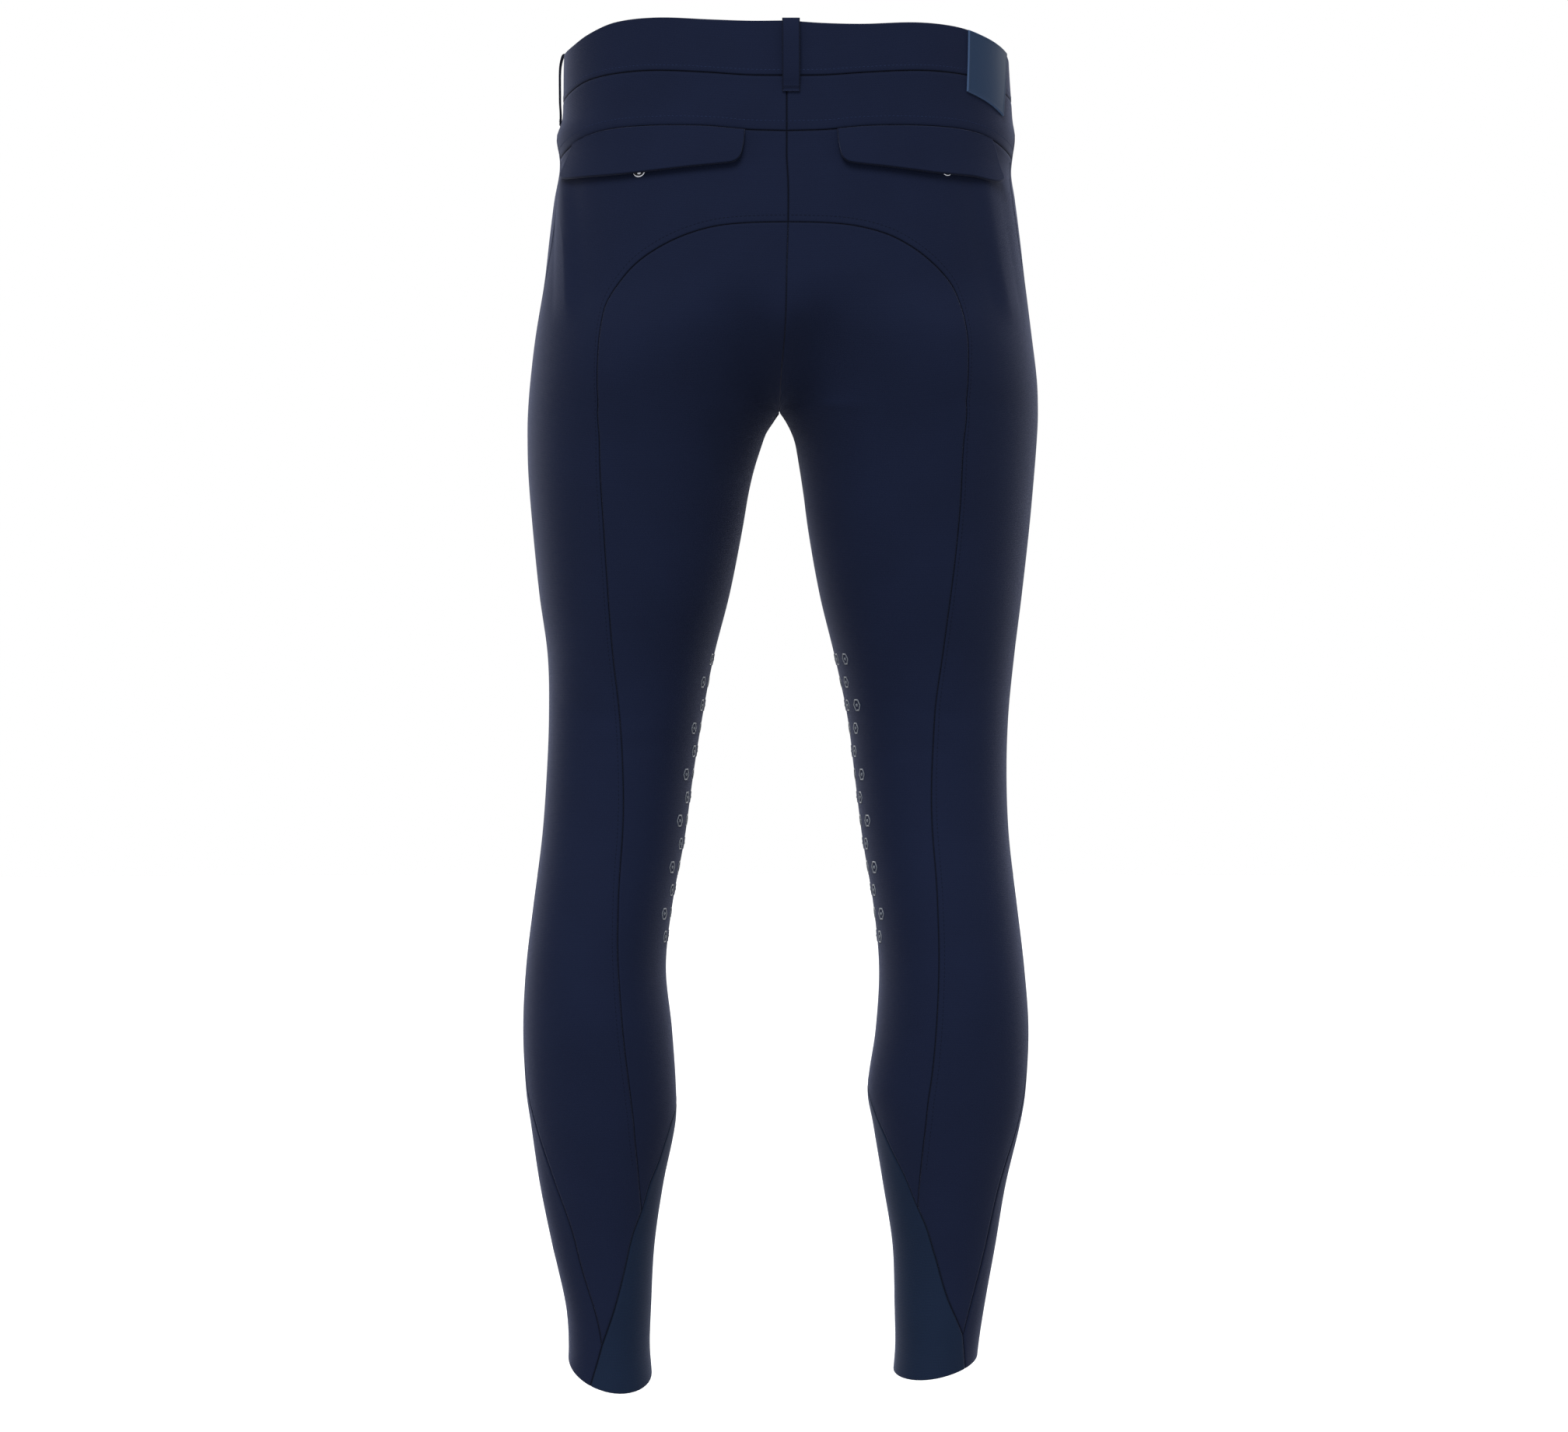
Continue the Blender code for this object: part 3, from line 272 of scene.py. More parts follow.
# Edge of the pocket bag, which shows through the cloth behind each side seam: x down the hip
POCKET_BAG = (
    # z,   left_x, right_x
    (-72, 162, 145.5), (-82, 161.4, 146.6), (-120, 159.5, 152.5), (-162, 157.5, 160.8),
    (-190, 157, 168),
)
POCKET_BAG_RIDGE = {LEFT: 2.6, RIGHT: 1.7}      # height of the ridge along that edge
POCKET_BAG_SLOPES = (20, 20)    # its width on the inner and the outer side
POCKET_BAG_FADES = (26, 8)      # and the height over which its foot and its top fade

# Grip print inside the knee
GRIP_TOP, GRIP_BOTTOM = -428, -642
GRIP_T = {LEFT: (-0.105, 0.072), RIGHT: (-0.105, 0.09)}
GRIP_PITCH = (19.0, 17.0)   # round the leg and down it
GRIP_RADIUS, GRIP_BEAD, GRIP_DOT = 4.4, 0.62, 1.3      # radii of the ring, its bead, the dot
GRIP_HEIGHT_SHARE = 0.55    # of the bead and the dot, pressed flat
GRIP_LIFT = 0.05        # of a motif's centre off the cloth
GRIP_CLEAR = 1.4        # between a motif and the inseam

# Colours, sRGB
NAVY = "#0c1224"
TEAL_NAVY = "#0c1627"
PATCH_TEAL = "#162438"
# the patch's rim colour is a painted highlight
PATCH_RIM_HIGHLIGHT = "#2a3a53"
THREAD_LIGHT = "#1a233c"
THREAD_DARK = "#090d1a"
GRIP_GREY = "#535963"
NICKEL = "#b2b4bb"
SHEEN_LILAC = "#aab2da"


# ---- tables ----

def smooth_curve(x, y, places):
    """Smooth curve through the points x, y, read at an array of places."""
    slope = np.gradient(y)
    slope[1:-1] = (y[2:] - y[:-2]) / (x[2:] - x[:-2])
    slope[0] = (y[1] - y[0]) / (x[1] - x[0])
    slope[-1] = (y[-1] - y[-2]) / (x[-1] - x[-2])
    p = np.clip(places, x[0], x[-1])
    i = np.clip(np.searchsorted(x, p) - 1, 0, len(x) - 2)
    span = x[i + 1] - x[i]
    s = (p - x[i]) / span
    return ((1 + 2 * s) * (1 - s) ** 2 * y[i] + s * (1 - s) ** 2 * span * slope[i]
            + s * s * (3 - 2 * s) * y[i + 1] - s * s * (1 - s) * span * slope[i + 1])


def read_table(table, column, places):
    rows = np.array(sorted(table), float)
    return smooth_curve(rows[:, 0], rows[:, column], np.asarray(places, float))


def smoothstep(share):
    share = np.clip(share, 0, 1)
    return share * share * (3 - 2 * share)


def lengths(places, axis=0):
    """Length up to each point of a line, or of a grid's lines along one axis."""
    steps = np.linalg.norm(np.diff(places, axis=axis), axis=-1)
    return np.cumsum(np.insert(steps, 0, 0, axis=axis), axis=axis)


# ---- the garment's surface ----

HEIGHTS = np.arange(-1010.0, 61.0)


def rise_share(z, start, from_seam):
    """0 above the rise, 1 at the fork; the centre seam turns under in a U."""
    share = np.clip((start - z) / (start - CROTCH_Z), 0, 1)
    under = 1 - np.sqrt(1 - share * share)
    return under + (smoothstep(share) - under) * smoothstep(from_seam / RISE_WIDTH_T)


def blended_place(half, t, z, outer, inner, middle, depth):
    """x and y where the leg ring and the hip ring are mixed at one height."""
    turn = 2 * pi * t
    leg_x = (outer + inner) / 2 - half * np.abs(outer - inner) / 2 * np.cos(turn)
    leg_y = middle - depth * np.sin(turn)
    front_share = smoothstep((t - 0.3) / 0.4)
    leg = ((1 - front_share) * rise_share(z, BACK_RISE_Z, t)
           + front_share * rise_share(z, FRONT_RISE_Z, 1 - t))
    leg = np.where(z <= CROTCH_Z, 1.0, leg)
    across, along = np.sin(pi * t), -np.cos(pi * t)
    reach = ((np.abs(across) / np.abs(outer - inner)) ** HIP_SQUARE
             + (np.abs(along) / depth) ** HIP_SQUARE) ** (-1 / HIP_SQUARE)
    hip_x = inner + half * reach * across
    hip_y = middle + reach * along
    return hip_x + leg * (leg_x - hip_x), hip_y + leg * (leg_y - hip_y)


def eased(values):
    """Values down the heights without the corner where one form takes over from another."""
    reach = np.arange(-FULLNESS_EASE * 3, FULLNESS_EASE * 3 + 1)
    weights = np.exp(-(reach / FULLNESS_EASE) ** 2)
    padded = np.pad(values, len(reach) // 2, mode="edge")
    return np.convolve(padded, weights / weights.sum(), mode="valid")


def half_sections(half):
    """Outlines, middle, half depth and the two fullnesses of one half at every height."""
    out_column, in_column = (LEFT_OUT, LEFT_IN) if half == LEFT else (RIGHT_OUT, RIGHT_IN)
    z = HEIGHTS
    outer = read_table(SECTIONS, out_column, z)
    above = [row for row in SECTIONS if row[0] >= CROTCH_Z]
    below = [row for row in SECTIONS if row[0] <= FIRST_LEG_Z]
    fork = read_table(SECTIONS, CENTRE, CROTCH_Z)
    first = read_table(SECTIONS, in_column, FIRST_LEG_Z)
    share = np.clip((CROTCH_Z - z) / (CROTCH_Z - FIRST_LEG_Z), 0, 1)
    inner = np.where(z >= CROTCH_Z, read_table(above, CENTRE, z),
                     np.where(z > FIRST_LEG_Z, fork + (first - fork) * share ** FORK_POWER,
                              read_table(below, in_column, z)))
    back, front = read_table(SECTIONS, BACK, z), read_table(SECTIONS, FRONT, z)
    middle, depth = (back + front) / 2, (front - back) / 2
    turns = np.linspace(0, 1, 41)[:, None]
    off = blended_place(half, turns, z, outer, inner, middle, depth)[1] - middle
    return outer, inner, middle, depth, eased(-off.min(0) / depth), eased(off.max(0) / depth)


HALVES = {half: half_sections(half) for half in (LEFT, RIGHT)}
OUTER, INNER = 0, 1     # the first two rows of each


def outline_x(half, row, z):
    """x of one half's outer or inner outline."""
    return np.interp(z, HEIGHTS, HALVES[half][row])


def smooth_place(half, t, z):
    """Point of the garment's outer face, before any crease."""
    rows = [np.interp(z, HEIGHTS, row) for row in HALVES[half]]
    x, y = blended_place(half, t, z, *rows[:4])
    middle = rows[2]
    fullness = np.where(y < middle, rows[4], rows[5])
    z = np.broadcast_to(z, np.shape(x))
    return np.stack([x, middle + (y - middle) / fullness, z], -1)


def turn_length(half, t, z, step=0.005):
    """Length of a whole turn of t, at the pace that t has at a point."""
    ends = smooth_place(half, t + step, z) - smooth_place(half, t - step, z)
    return np.linalg.norm(ends, axis=-1) / (2 * step)


def solve_t(half, x, z, low=0.0, high=0.5):
    """The t where the cloth lies at x, between two others, the one nearer the centre first."""
    for _ in range(40):
        middle = (low + high) / 2
        short = (smooth_place(half, middle, z)[..., 0] - x) * half < 0
        low, high = np.where(short, middle, low), np.where(short, high, middle)
    return (low + high) / 2


def unit(vectors):
    return vectors / np.maximum(np.linalg.norm(vectors, axis=-1, keepdims=True), 1e-9)


def normal_at(half, t, z):
    """Outward normal, in the centre plane where the two halves meet above the fork."""
    t, z = np.broadcast_arrays(np.asarray(t, float), np.asarray(z, float))
    dt, dz = 0.0015, 0.3
    high = z + dz
    low = np.where(np.abs(z - CROTCH_Z) < dz, z, z - dz)
    above = z > CROTCH_Z
    t_low = np.where(above, np.maximum(t - dt, 0), t - dt)
    t_high = np.where(above, np.minimum(t + dt, 1), t + dt)
    along = smooth_place(half, t_high, z) - smooth_place(half, t_low, z)
    up = smooth_place(half, t, high) - smooth_place(half, t, low)
    normal = np.cross(along, up) * half
    on_centre = (z > CROTCH_Z - dz) & (np.minimum(np.abs(t), np.abs(1 - t)) < 1e-6)
    normal[..., 0] = np.where(on_centre, 0, normal[..., 0])
    at_fork = on_centre & (np.abs(z - CROTCH_Z) <= dz)
    normal[at_fork] = (0, 0, -1)
    return unit(normal)


def bag_edge(half):
    """Heights, t of the pocket bag's edge there and the length of a turn."""
    heights = np.arange(POCKET_BAG[-1][0], POCKET_BAG[0][0] + 1.0, 4.0)
    t = solve_t(half, half * read_table(POCKET_BAG, COLUMN[half], heights), heights)
    return heights, t, turn_length(half, t, heights)


BAG_EDGES = {half: bag_edge(half) for half in (LEFT, RIGHT)}


def crease_height(half, t, z):
    """How far the cloth stands out or dips at each point."""
    height = np.zeros(np.shape(t))
    for side, t0, z0, length, width, tilt, tall, bow in CREASES:
        if side == half:
            turn = t - t0
            turn = np.where(z < CROTCH_Z, turn - np.round(turn), turn)
            u, v, a = turn * turn_length(half, t0, z0, 0.01), z - z0, radians(tilt)
            along, across = u * cos(a) + v * sin(a), v * cos(a) - u * sin(a)
            across = across - bow * (along / length) ** 2
            height = height + tall * np.exp(-(along / length) ** 2 - (across / width) ** 2)
    heights, edge_t, girth = BAG_EDGES[half]
    off = (t - np.interp(z, heights, edge_t)) * np.interp(z, heights, girth)
    inner, outer = POCKET_BAG_SLOPES
    ridge = np.where(off < 0, 1 - smoothstep(-off / inner), np.clip(1 - off / outer, 0, 1))
    bottom_fade, top_fade = POCKET_BAG_FADES
    fade = (smoothstep((z - heights[0]) / bottom_fade)
            * smoothstep((heights[-1] + top_fade / 2 - z) / top_fade))
    return height + POCKET_BAG_RIDGE[half] * ridge * fade


def arc_table(half):
    """Arc length round the half from its outer side, for the cut of the cloth."""
    turns = np.linspace(-0.32, 1.32, 165)
    heights = np.linspace(-1000, 50, 106)
    arc = lengths(smooth_place(half, *np.meshgrid(turns, heights)), 1)
    zero = np.array([np.interp(0.5, turns, row) for row in arc])
    return turns, heights, arc - zero[:, None]


ARCS = {half: arc_table(half) for half in (LEFT, RIGHT)}


def cut_at(half, t, z):
    """Place of each point in the flat cut, in mm: round the body and down the grain."""
    turns, heights, arc = ARCS[half]
    column = np.clip((t - turns[0]) / (turns[1] - turns[0]), 0, len(turns) - 1.001)
    row = np.clip((z - heights[0]) / (heights[1] - heights[0]), 0, len(heights) - 1.001)
    i, j = row.astype(int), column.astype(int)
    f, g = row - i, column - j
    across = ((1 - f) * ((1 - g) * arc[i, j] + g * arc[i, j + 1])
              + f * ((1 - g) * arc[i + 1, j] + g * arc[i + 1, j + 1]))
    return np.stack([half * across, np.broadcast_to(z, np.shape(across))], -1)


# ---- seam lines, each an array of (t, z) ----

def pair(t, z):
    return np.column_stack(np.broadcast_arrays(np.asarray(t, float), np.asarray(z, float)))


def waist_line(column, t):
    return read_table(WAIST_LINES, column, t)


def side_t(half, z):
    inset = read_table(SIDE_SEAM, COLUMN[half], z)
    return solve_t(half, outline_x(half, OUTER, z) - half * inset, z, 0.25)


def side_corner(half, column):
    """Where the side seam meets a line round the waist."""
    t = 0.5
    for _ in range(6):
        t = side_t(half, waist_line(column, t))
    return np.array([t, waist_line(column, t)])


def hem_z(half, t):
    hem = HEM[half]
    return (hem["z"] - hem["back_drop"] * np.sin(2 * pi * t)
            - hem["outer_rise"] * np.cos(2 * pi * t))


def inseam_t(z):
    return -INSEAM_LEAN * smoothstep((CROTCH_Z - z) / INSEAM_LEAN_DEPTH)


def insert_line(half):
    """Seam between the back of the leg and the calf insert, from the inseam down."""
    columns = slice(0, 2) if half == LEFT else slice(2, 4)
    z, x = np.array(INSERT_SEAM, float)[:, columns].T
    top_z = z[0] + INSERT_TOP_RISE
    line = np.vstack([[inseam_t(top_z), top_z], pair(solve_t(half, half * x, z, -0.02), z)])
    along = lengths(smooth_place(half, *line.T))
    count = (len(line) - 1) * INSERT_STEPS + 1
    fine = np.interp(np.arange(count) / INSERT_STEPS, np.arange(len(line)), along)
    return np.column_stack([smooth_curve(along, column, fine) for column in line.T])


def side_line(half):
    corner, tip = side_corner(half, YOKE_SEAM), insert_line(half)[-1]
    count = int((corner[1] - tip[1] - 20) // SIDE_STEP)
    z = np.linspace(corner[1] - 22, tip[1] + 10, count)
    return np.vstack([corner, pair(side_t(half, z), z), tip])


def side_above_yoke(half):
    top, bottom = side_corner(half, BAND_SEAM), side_corner(half, YOKE_SEAM)
    z = top[1] + (bottom[1] - top[1]) * np.array(YOKE_SIDE_SHARES)
    return np.vstack([top, pair(side_t(half, z), z), bottom])


def side_below_tip(half):
    t = side_t(half, HEM[half]["z"])
    for _ in range(2):
        t = side_t(half, hem_z(half, t))
    return np.vstack([insert_line(half)[-1], [t, hem_z(half, t)]])


def seat_line(half):
    """Seam round the seat, from centre back over the arch to the insert seam."""
    z, x = np.array(SEAT_SEAM, float)[:, (0, COLUMN[half])].T
    centre = np.where(z > CROTCH_Z, outline_x(half, INNER, z), 0)
    shift = np.where(x < SEAT_SHIFT_REACH, centre * (1 - x / SEAT_SHIFT_REACH), 0)
    t = np.where(x > 0, solve_t(half, half * x + shift, z), 0)
    return np.vstack([pair(t, z), insert_line(half)[MEET]])


def centre_line(t, z_from):
    return pair(t, CROTCH_Z + (z_from - CROTCH_Z) * np.cos(np.linspace(0, pi / 2, 24)))


def inseam_line(half):
    z_end = insert_line(half)[0, 1]
    z = CROTCH_Z + (z_end - CROTCH_Z) * np.linspace(0, 1, 30) ** 1.4
    return pair(inseam_t(z), z)


def insert_front_line(half):
    t_top, z_top = insert_line(half)[0]
    z = np.linspace(z_top, hem_z(half, INSERT_FRONT_T), 16)
    share = smoothstep((z_top - z) / INSERT_FRONT_DEPTH)
    return pair(t_top + (INSERT_FRONT_T - t_top) * share, z)


# ---- shells between seam lines ----

def trace(half, segments, shares=None):
    """Points of a seam line at shares of its length; without shares, its length and the
    shares of its corners."""
    tables, total = [], 0.0
    for line in segments:
        tables.append((total + lengths(smooth_place(half, *line.T)), line))
        total = tables[-1][0][-1]
    if shares is None:
        return total, [along[0] / total for along, _ in tables[1:]]
    wanted = np.asarray(shares) * total
    points = np.empty((len(wanted), 2))
    for along, line in tables:
        here = (wanted >= along[0] - 1e-6) & (wanted <= along[-1] + 1e-6)
        for column in (0, 1):
            points[here, column] = smooth_curve(along, line[:, column], wanted[here])
    return points


def edge_distances(places):
    """How far every point of a grid lies from each of its four edges."""
    across, down = lengths(places, 1), lengths(places)
    return {"first": across, "last": across[:, -1:] - across,
            "start": down, "end": down[-1:] - down}


def spaced(length, cell, corners=()):
    """Shares along a length: close together at both ends, then even."""
    steps = np.array([s for s in EDGE_STEPS if s < length * 0.3])
    count = max(2, int(round((length - 2 * steps[-1]) / cell)) + 1)
    middle = np.linspace(steps[-1], length - steps[-1], count)[1:-1]
    shares = np.concatenate([steps, middle, (length - steps)[::-1]]) / length
    for corner in corners:
        shares[1 + np.argmin(np.abs(shares[1:-1] - corner))] = corner
    return shares


def relaxed(places, normals, t, z, rim):
    """The cloth near the fork with its sharp turn spread out, as a stretch cloth rounds it."""
    hold = (smoothstep(rim / FORK_EDGE) * np.exp(-((z - CROTCH_Z) / FORK_REACH) ** 2)
            * smoothstep((FORK_T - np.minimum(np.abs(t), np.abs(1 - t))) / FORK_T_FADE))
    if hold.max() < 0.01:
        return places
    places = places.copy()
    inside = np.s_[1:-1, 1:-1]
    for _ in range(FORK_ROUNDS):
        mean = (places[2:, 1:-1] + places[:-2, 1:-1] + places[1:-1, 2:] + places[1:-1, :-2]) / 4
        off = ((mean - places[inside]) * normals[inside]).sum(-1)
        places[inside] += normals[inside] * (off * hold[inside])[..., None]
    return places


class Grid:
    """A grid of points on one half's cloth, with the distance of each from the edges."""

    def __init__(self, half, t, z):
        self.normals, self.cut = normal_at(half, t, z), cut_at(half, t, z)
        smooth = smooth_place(half, t, z)
        self.edges = edge_distances(smooth)
        smooth = relaxed(smooth, self.normals, t, z, self.rim())
        self.places = smooth + self.normals * crease_height(half, t, z)[..., None]

    def rim(self, *without):
        return np.minimum.reduce([d for name, d in self.edges.items() if name not in without])


def panel_grid(half, first, last, start=None, end=None):
    """Grid ruled between two seam lines; start and end bend its other two edges."""
    (first_length, a), (last_length, b) = trace(half, first), trace(half, last)
    rows = spaced((first_length + last_length) / 2, CELL, a + b)
    one, two = trace(half, first, rows)[:, None], trace(half, last, rows)[:, None]
    some = np.linspace(0, 1, 9)[:, None]
    web = one * (1 - some) + two * some
    widths = lengths(smooth_place(half, web[..., 0], web[..., 1]), 1)[:, -1]
    columns = spaced(widths.max(), CELL)
    r = columns[:, None]
    grid = one * (1 - r) + two * r
    share = rows[:, None, None]
    if start is not None:
        grid = grid + (1 - share) ** 3 * (start(columns) - grid[0])
    if end is not None:
        grid = grid + share ** 3 * (end(columns) - grid[-1])
    return Grid(half, grid[..., 0], grid[..., 1])


def rounded(distance, radius, depth):
    """Drop of a face near its edge, a quarter turn over the radius."""
    near = np.clip(1 - distance / radius, 0, 1)
    return depth * (1 - np.sqrt(1 - near * near))


def inward_step(places, setback):
    """Moves the outer ring of a grid inwards by the setback of a sewn edge."""
    moved = places.copy()
    for edge, beside in ((np.s_[:, 0], np.s_[:, 1]), (np.s_[:, -1], np.s_[:, -2]),
                         (0, 1), (-1, -2)):
        moved[edge] += unit(places[beside] - places[edge]) * setback
    return moved


LEAST_CUT = 0.0101      # m, the shortest side given to a flat size; m, a side that a sheet may just state


def note_cut(over, cut):
    """Works out the flat size of a cloth piece, read from its own grid; nothing is kept."""
    one, two = over[1:, 1:] - over[:-1, :-1], over[1:, :-1] - over[:-1, 1:]
    area = np.linalg.norm(np.cross(one, two), axis=-1).sum() / 2 * MM * MM
    width, length = (max(np.ptp(cut[..., k]) * MM, LEAST_CUT) for k in (0, 1))
    if area < 0.3 * width * length:         # a slanting strip is measured along itself
        length = lengths(over[:, over.shape[1] // 2])[-1] * MM
        width = area / length


def place_object(name, data):
    item = bpy.data.objects.new(name, data)
    bpy.context.scene.collection.objects.link(item)
    return item


def new_mesh(name, places, edges=(), faces=()):
    """A mesh of points in mm."""
    data = bpy.data.meshes.new(name)
    data.from_pydata((np.asarray(places) * MM).tolist(), edges, faces)
    return data


def add_attribute(data, name, values):
    """Writes a number or a vector for every point of a mesh."""
    kind, field = ("FLOAT", "value") if values.ndim == 1 else ("FLOAT_VECTOR", "vector")
    data.attributes.new(name, kind, "POINT").data.foreach_set(field, values.ravel())


def finish_solid(data, material, sharp):
    """Shades a mesh smooth up to an angle between its faces, and makes its object."""
    data.shade_smooth()
    data.set_sharp_from_angle(angle=sharp)
    data.materials.append(material)
    return place_object(data.name, data)


def closed_shell(name, over, under, cut, edge, material):
    """A closed wall between two grids of points, in mm, with its cut and edge attributes."""
    note_cut(over, cut)
    rows, columns = over.shape[:2]
    index = np.arange(rows * columns).reshape(rows, columns)
    quads = np.stack([index[:-1, :-1], index[1:, :-1], index[1:, 1:], index[:-1, 1:]], -1)
    quads = quads.reshape(-1, 4)
    loop = np.concatenate([index[:, 0], index[-1, 1:], index[-2::-1, -1], index[0, -2:0:-1]])
    after, size = np.roll(loop, -1), rows * columns
    rim = np.stack([after, loop, loop + size, after + size], -1)
    faces = np.concatenate([quads, quads[:, ::-1] + size, rim])
    points = np.concatenate([over.reshape(-1, 3), under.reshape(-1, 3)])
    middle = quads[len(quads) // 2 + columns // 2]
    corner = points[middle]
    facing = np.cross(corner[2] - corner[0], corner[3] - corner[1])
    if facing @ (corner[0] - points[middle[0] + size]) < 0:
        faces = faces[:, ::-1]

    values = np.concatenate([np.column_stack([cut.reshape(-1, 2) * MM, edge.reshape(-1)])] * 2)
    _, kept, renamed = np.unique(np.round(points, 4), axis=0, return_index=True,
                                 return_inverse=True)
    values, polygons = values[kept], []
    for face in renamed.reshape(-1)[faces].tolist():
        face = [v for k, v in enumerate(face) if v != face[k - 1]]
        if len(set(face)) > 2:
            polygons.append(face)
    data = new_mesh(name, points[kept], faces=polygons)
    data.validate()
    corners = np.zeros(len(data.loops), int)
    data.loops.foreach_get("vertex_index", corners)
    uv = data.uv_layers.new(name="cut")
    uv.data.foreach_set("uv", values[corners, :2].ravel())
    add_attribute(data, "edge", values[:, 2])
    return finish_solid(data, material, 1.0)


def sewn_shell(name, grid, wall, material, loose=()):
    """A panel: its face on the surface and rolled in at its seams, its wall inwards."""
    rim = grid.rim(*loose)
    dip = rounded(rim, SEAM_ROLL, SEAM_DIP)
    if loose:
        fold = grid.rim(*[name for name in grid.edges if name not in loose])
        dip = dip + rounded(fold, FOLD_ROLL, FOLD_DIP)
    height, off, width = SEAM_SWELL
    swell = height * np.exp(-((rim - off) / width) ** 2)
    over = inward_step(grid.places, SETBACK) + grid.normals * (swell - dip)[..., None]
    # the turned-in edge closes the groove just under the face, so no light runs down it
    depth = np.where(rim < 1e-6, dip + TURN_DEPTH, wall)
    under = inward_step(grid.places, TURN_SETBACK) - grid.normals * depth[..., None]
    grid.face = over
    # its distance from a seam goes out as the edge attribute, which the cloth turns into painted
    # shade along the seam
    return closed_shell(name, over, under, grid.cut, rim, material)


def laid_shell(name, sheet, wall, material, lift=LAY_GAP, radius=0.6, bead=0.0,
               shade=SEAM_SHADE):
    """A piece laid on the cloth: its under face lifted off, its upper edges rounded. Gives
    its object and its upper face's points and normals."""
    places, normals, cut = sheet
    rim = np.minimum.reduce(list(edge_distances(places).values()))
    high = lift + wall - rounded(rim, radius, wall * LAID_DROP)
    high = high + bead * np.exp(-((rim - BEAD_PLACE) / BEAD_WIDTH) ** 2)
    over = places + normals * high[..., None]
    under = places + normals * np.broadcast_to(lift, rim.shape)[..., None]
    # shade shifts the edge attribute: at SEAM_SHADE the cloth paints no shade along the piece's
    # edge, a lower value such as a flap's gives it painted shade
    return closed_shell(name, over, under, cut, rim + shade, material), over, normals


# ---- materials ----

def set_inputs(tree, node, inputs):
    """Sets each input to a value, or links it to a socket or a node's first output in use."""
    for key, value in inputs.items():
        if isinstance(value, bpy.types.Node):
            value = next(socket for socket in value.outputs if socket.enabled)
        if isinstance(value, bpy.types.NodeSocket):
            tree.links.new(value, node.inputs[key])
        else:
            node.inputs[key].default_value = value


def linear(hex_colour):
    """Linear colour of an sRGB hex colour."""
    parts = [int(hex_colour[i:i + 2], 16) / 255 for i in (1, 3, 5)]
    return [p / 12.92 if p <= 0.04045 else ((p + 0.055) / 1.055) ** 2.4 for p in parts] + [1]


def add_node(tree, kind, inputs=None, **settings):
    """A node with its settings and inputs."""
    node = tree.nodes.new(kind)
    for name, value in settings.items():
        setattr(node, name, value)
    set_inputs(tree, node, inputs or {})
    return node


def new_material(name, **shader_inputs):
    """A material with its node tree and its shader."""
    material = bpy.data.materials.new(name)
    material.use_nodes = True
    tree = material.node_tree
    shader = tree.nodes["Principled BSDF"]
    set_inputs(tree, shader, {key.replace("_", " "): value
                              for key, value in shader_inputs.items()})
    return material, tree, shader


def toned(tree, colour, *gains):
    """A colour times gains, each read from a value: its range, and the gain at both ends."""
    total = None
    for value, start, stop, low, high in gains:
        gain = add_node(tree, "ShaderNodeMapRange",
                        {"Value": value, "From Min": start, "From Max": stop,
                         "To Min": low, "To Max": high})
        total = gain if total is None else add_node(tree, "ShaderNodeMath",
                                                    {0: total, 1: gain}, operation="MULTIPLY")
    return add_node(tree, "ShaderNodeVectorMath", {0: linear(colour)[:3], "Scale": total},
                    operation="SCALE")


def cover(tree, shader, tone, height, depth_mm, strength):
    """Gives a shader its colour and the relief of its surface."""
    bump = add_node(tree, "ShaderNodeBump", {"Height": height, "Distance": depth_mm * MM,
                                             "Strength": strength})
    set_inputs(tree, shader, {"Base Color": tone, "Normal": bump})


WAVE_SPEED = {"X": 20, "Y": 20, "DIAGONAL": 10}     # radians to a unit of a wave texture


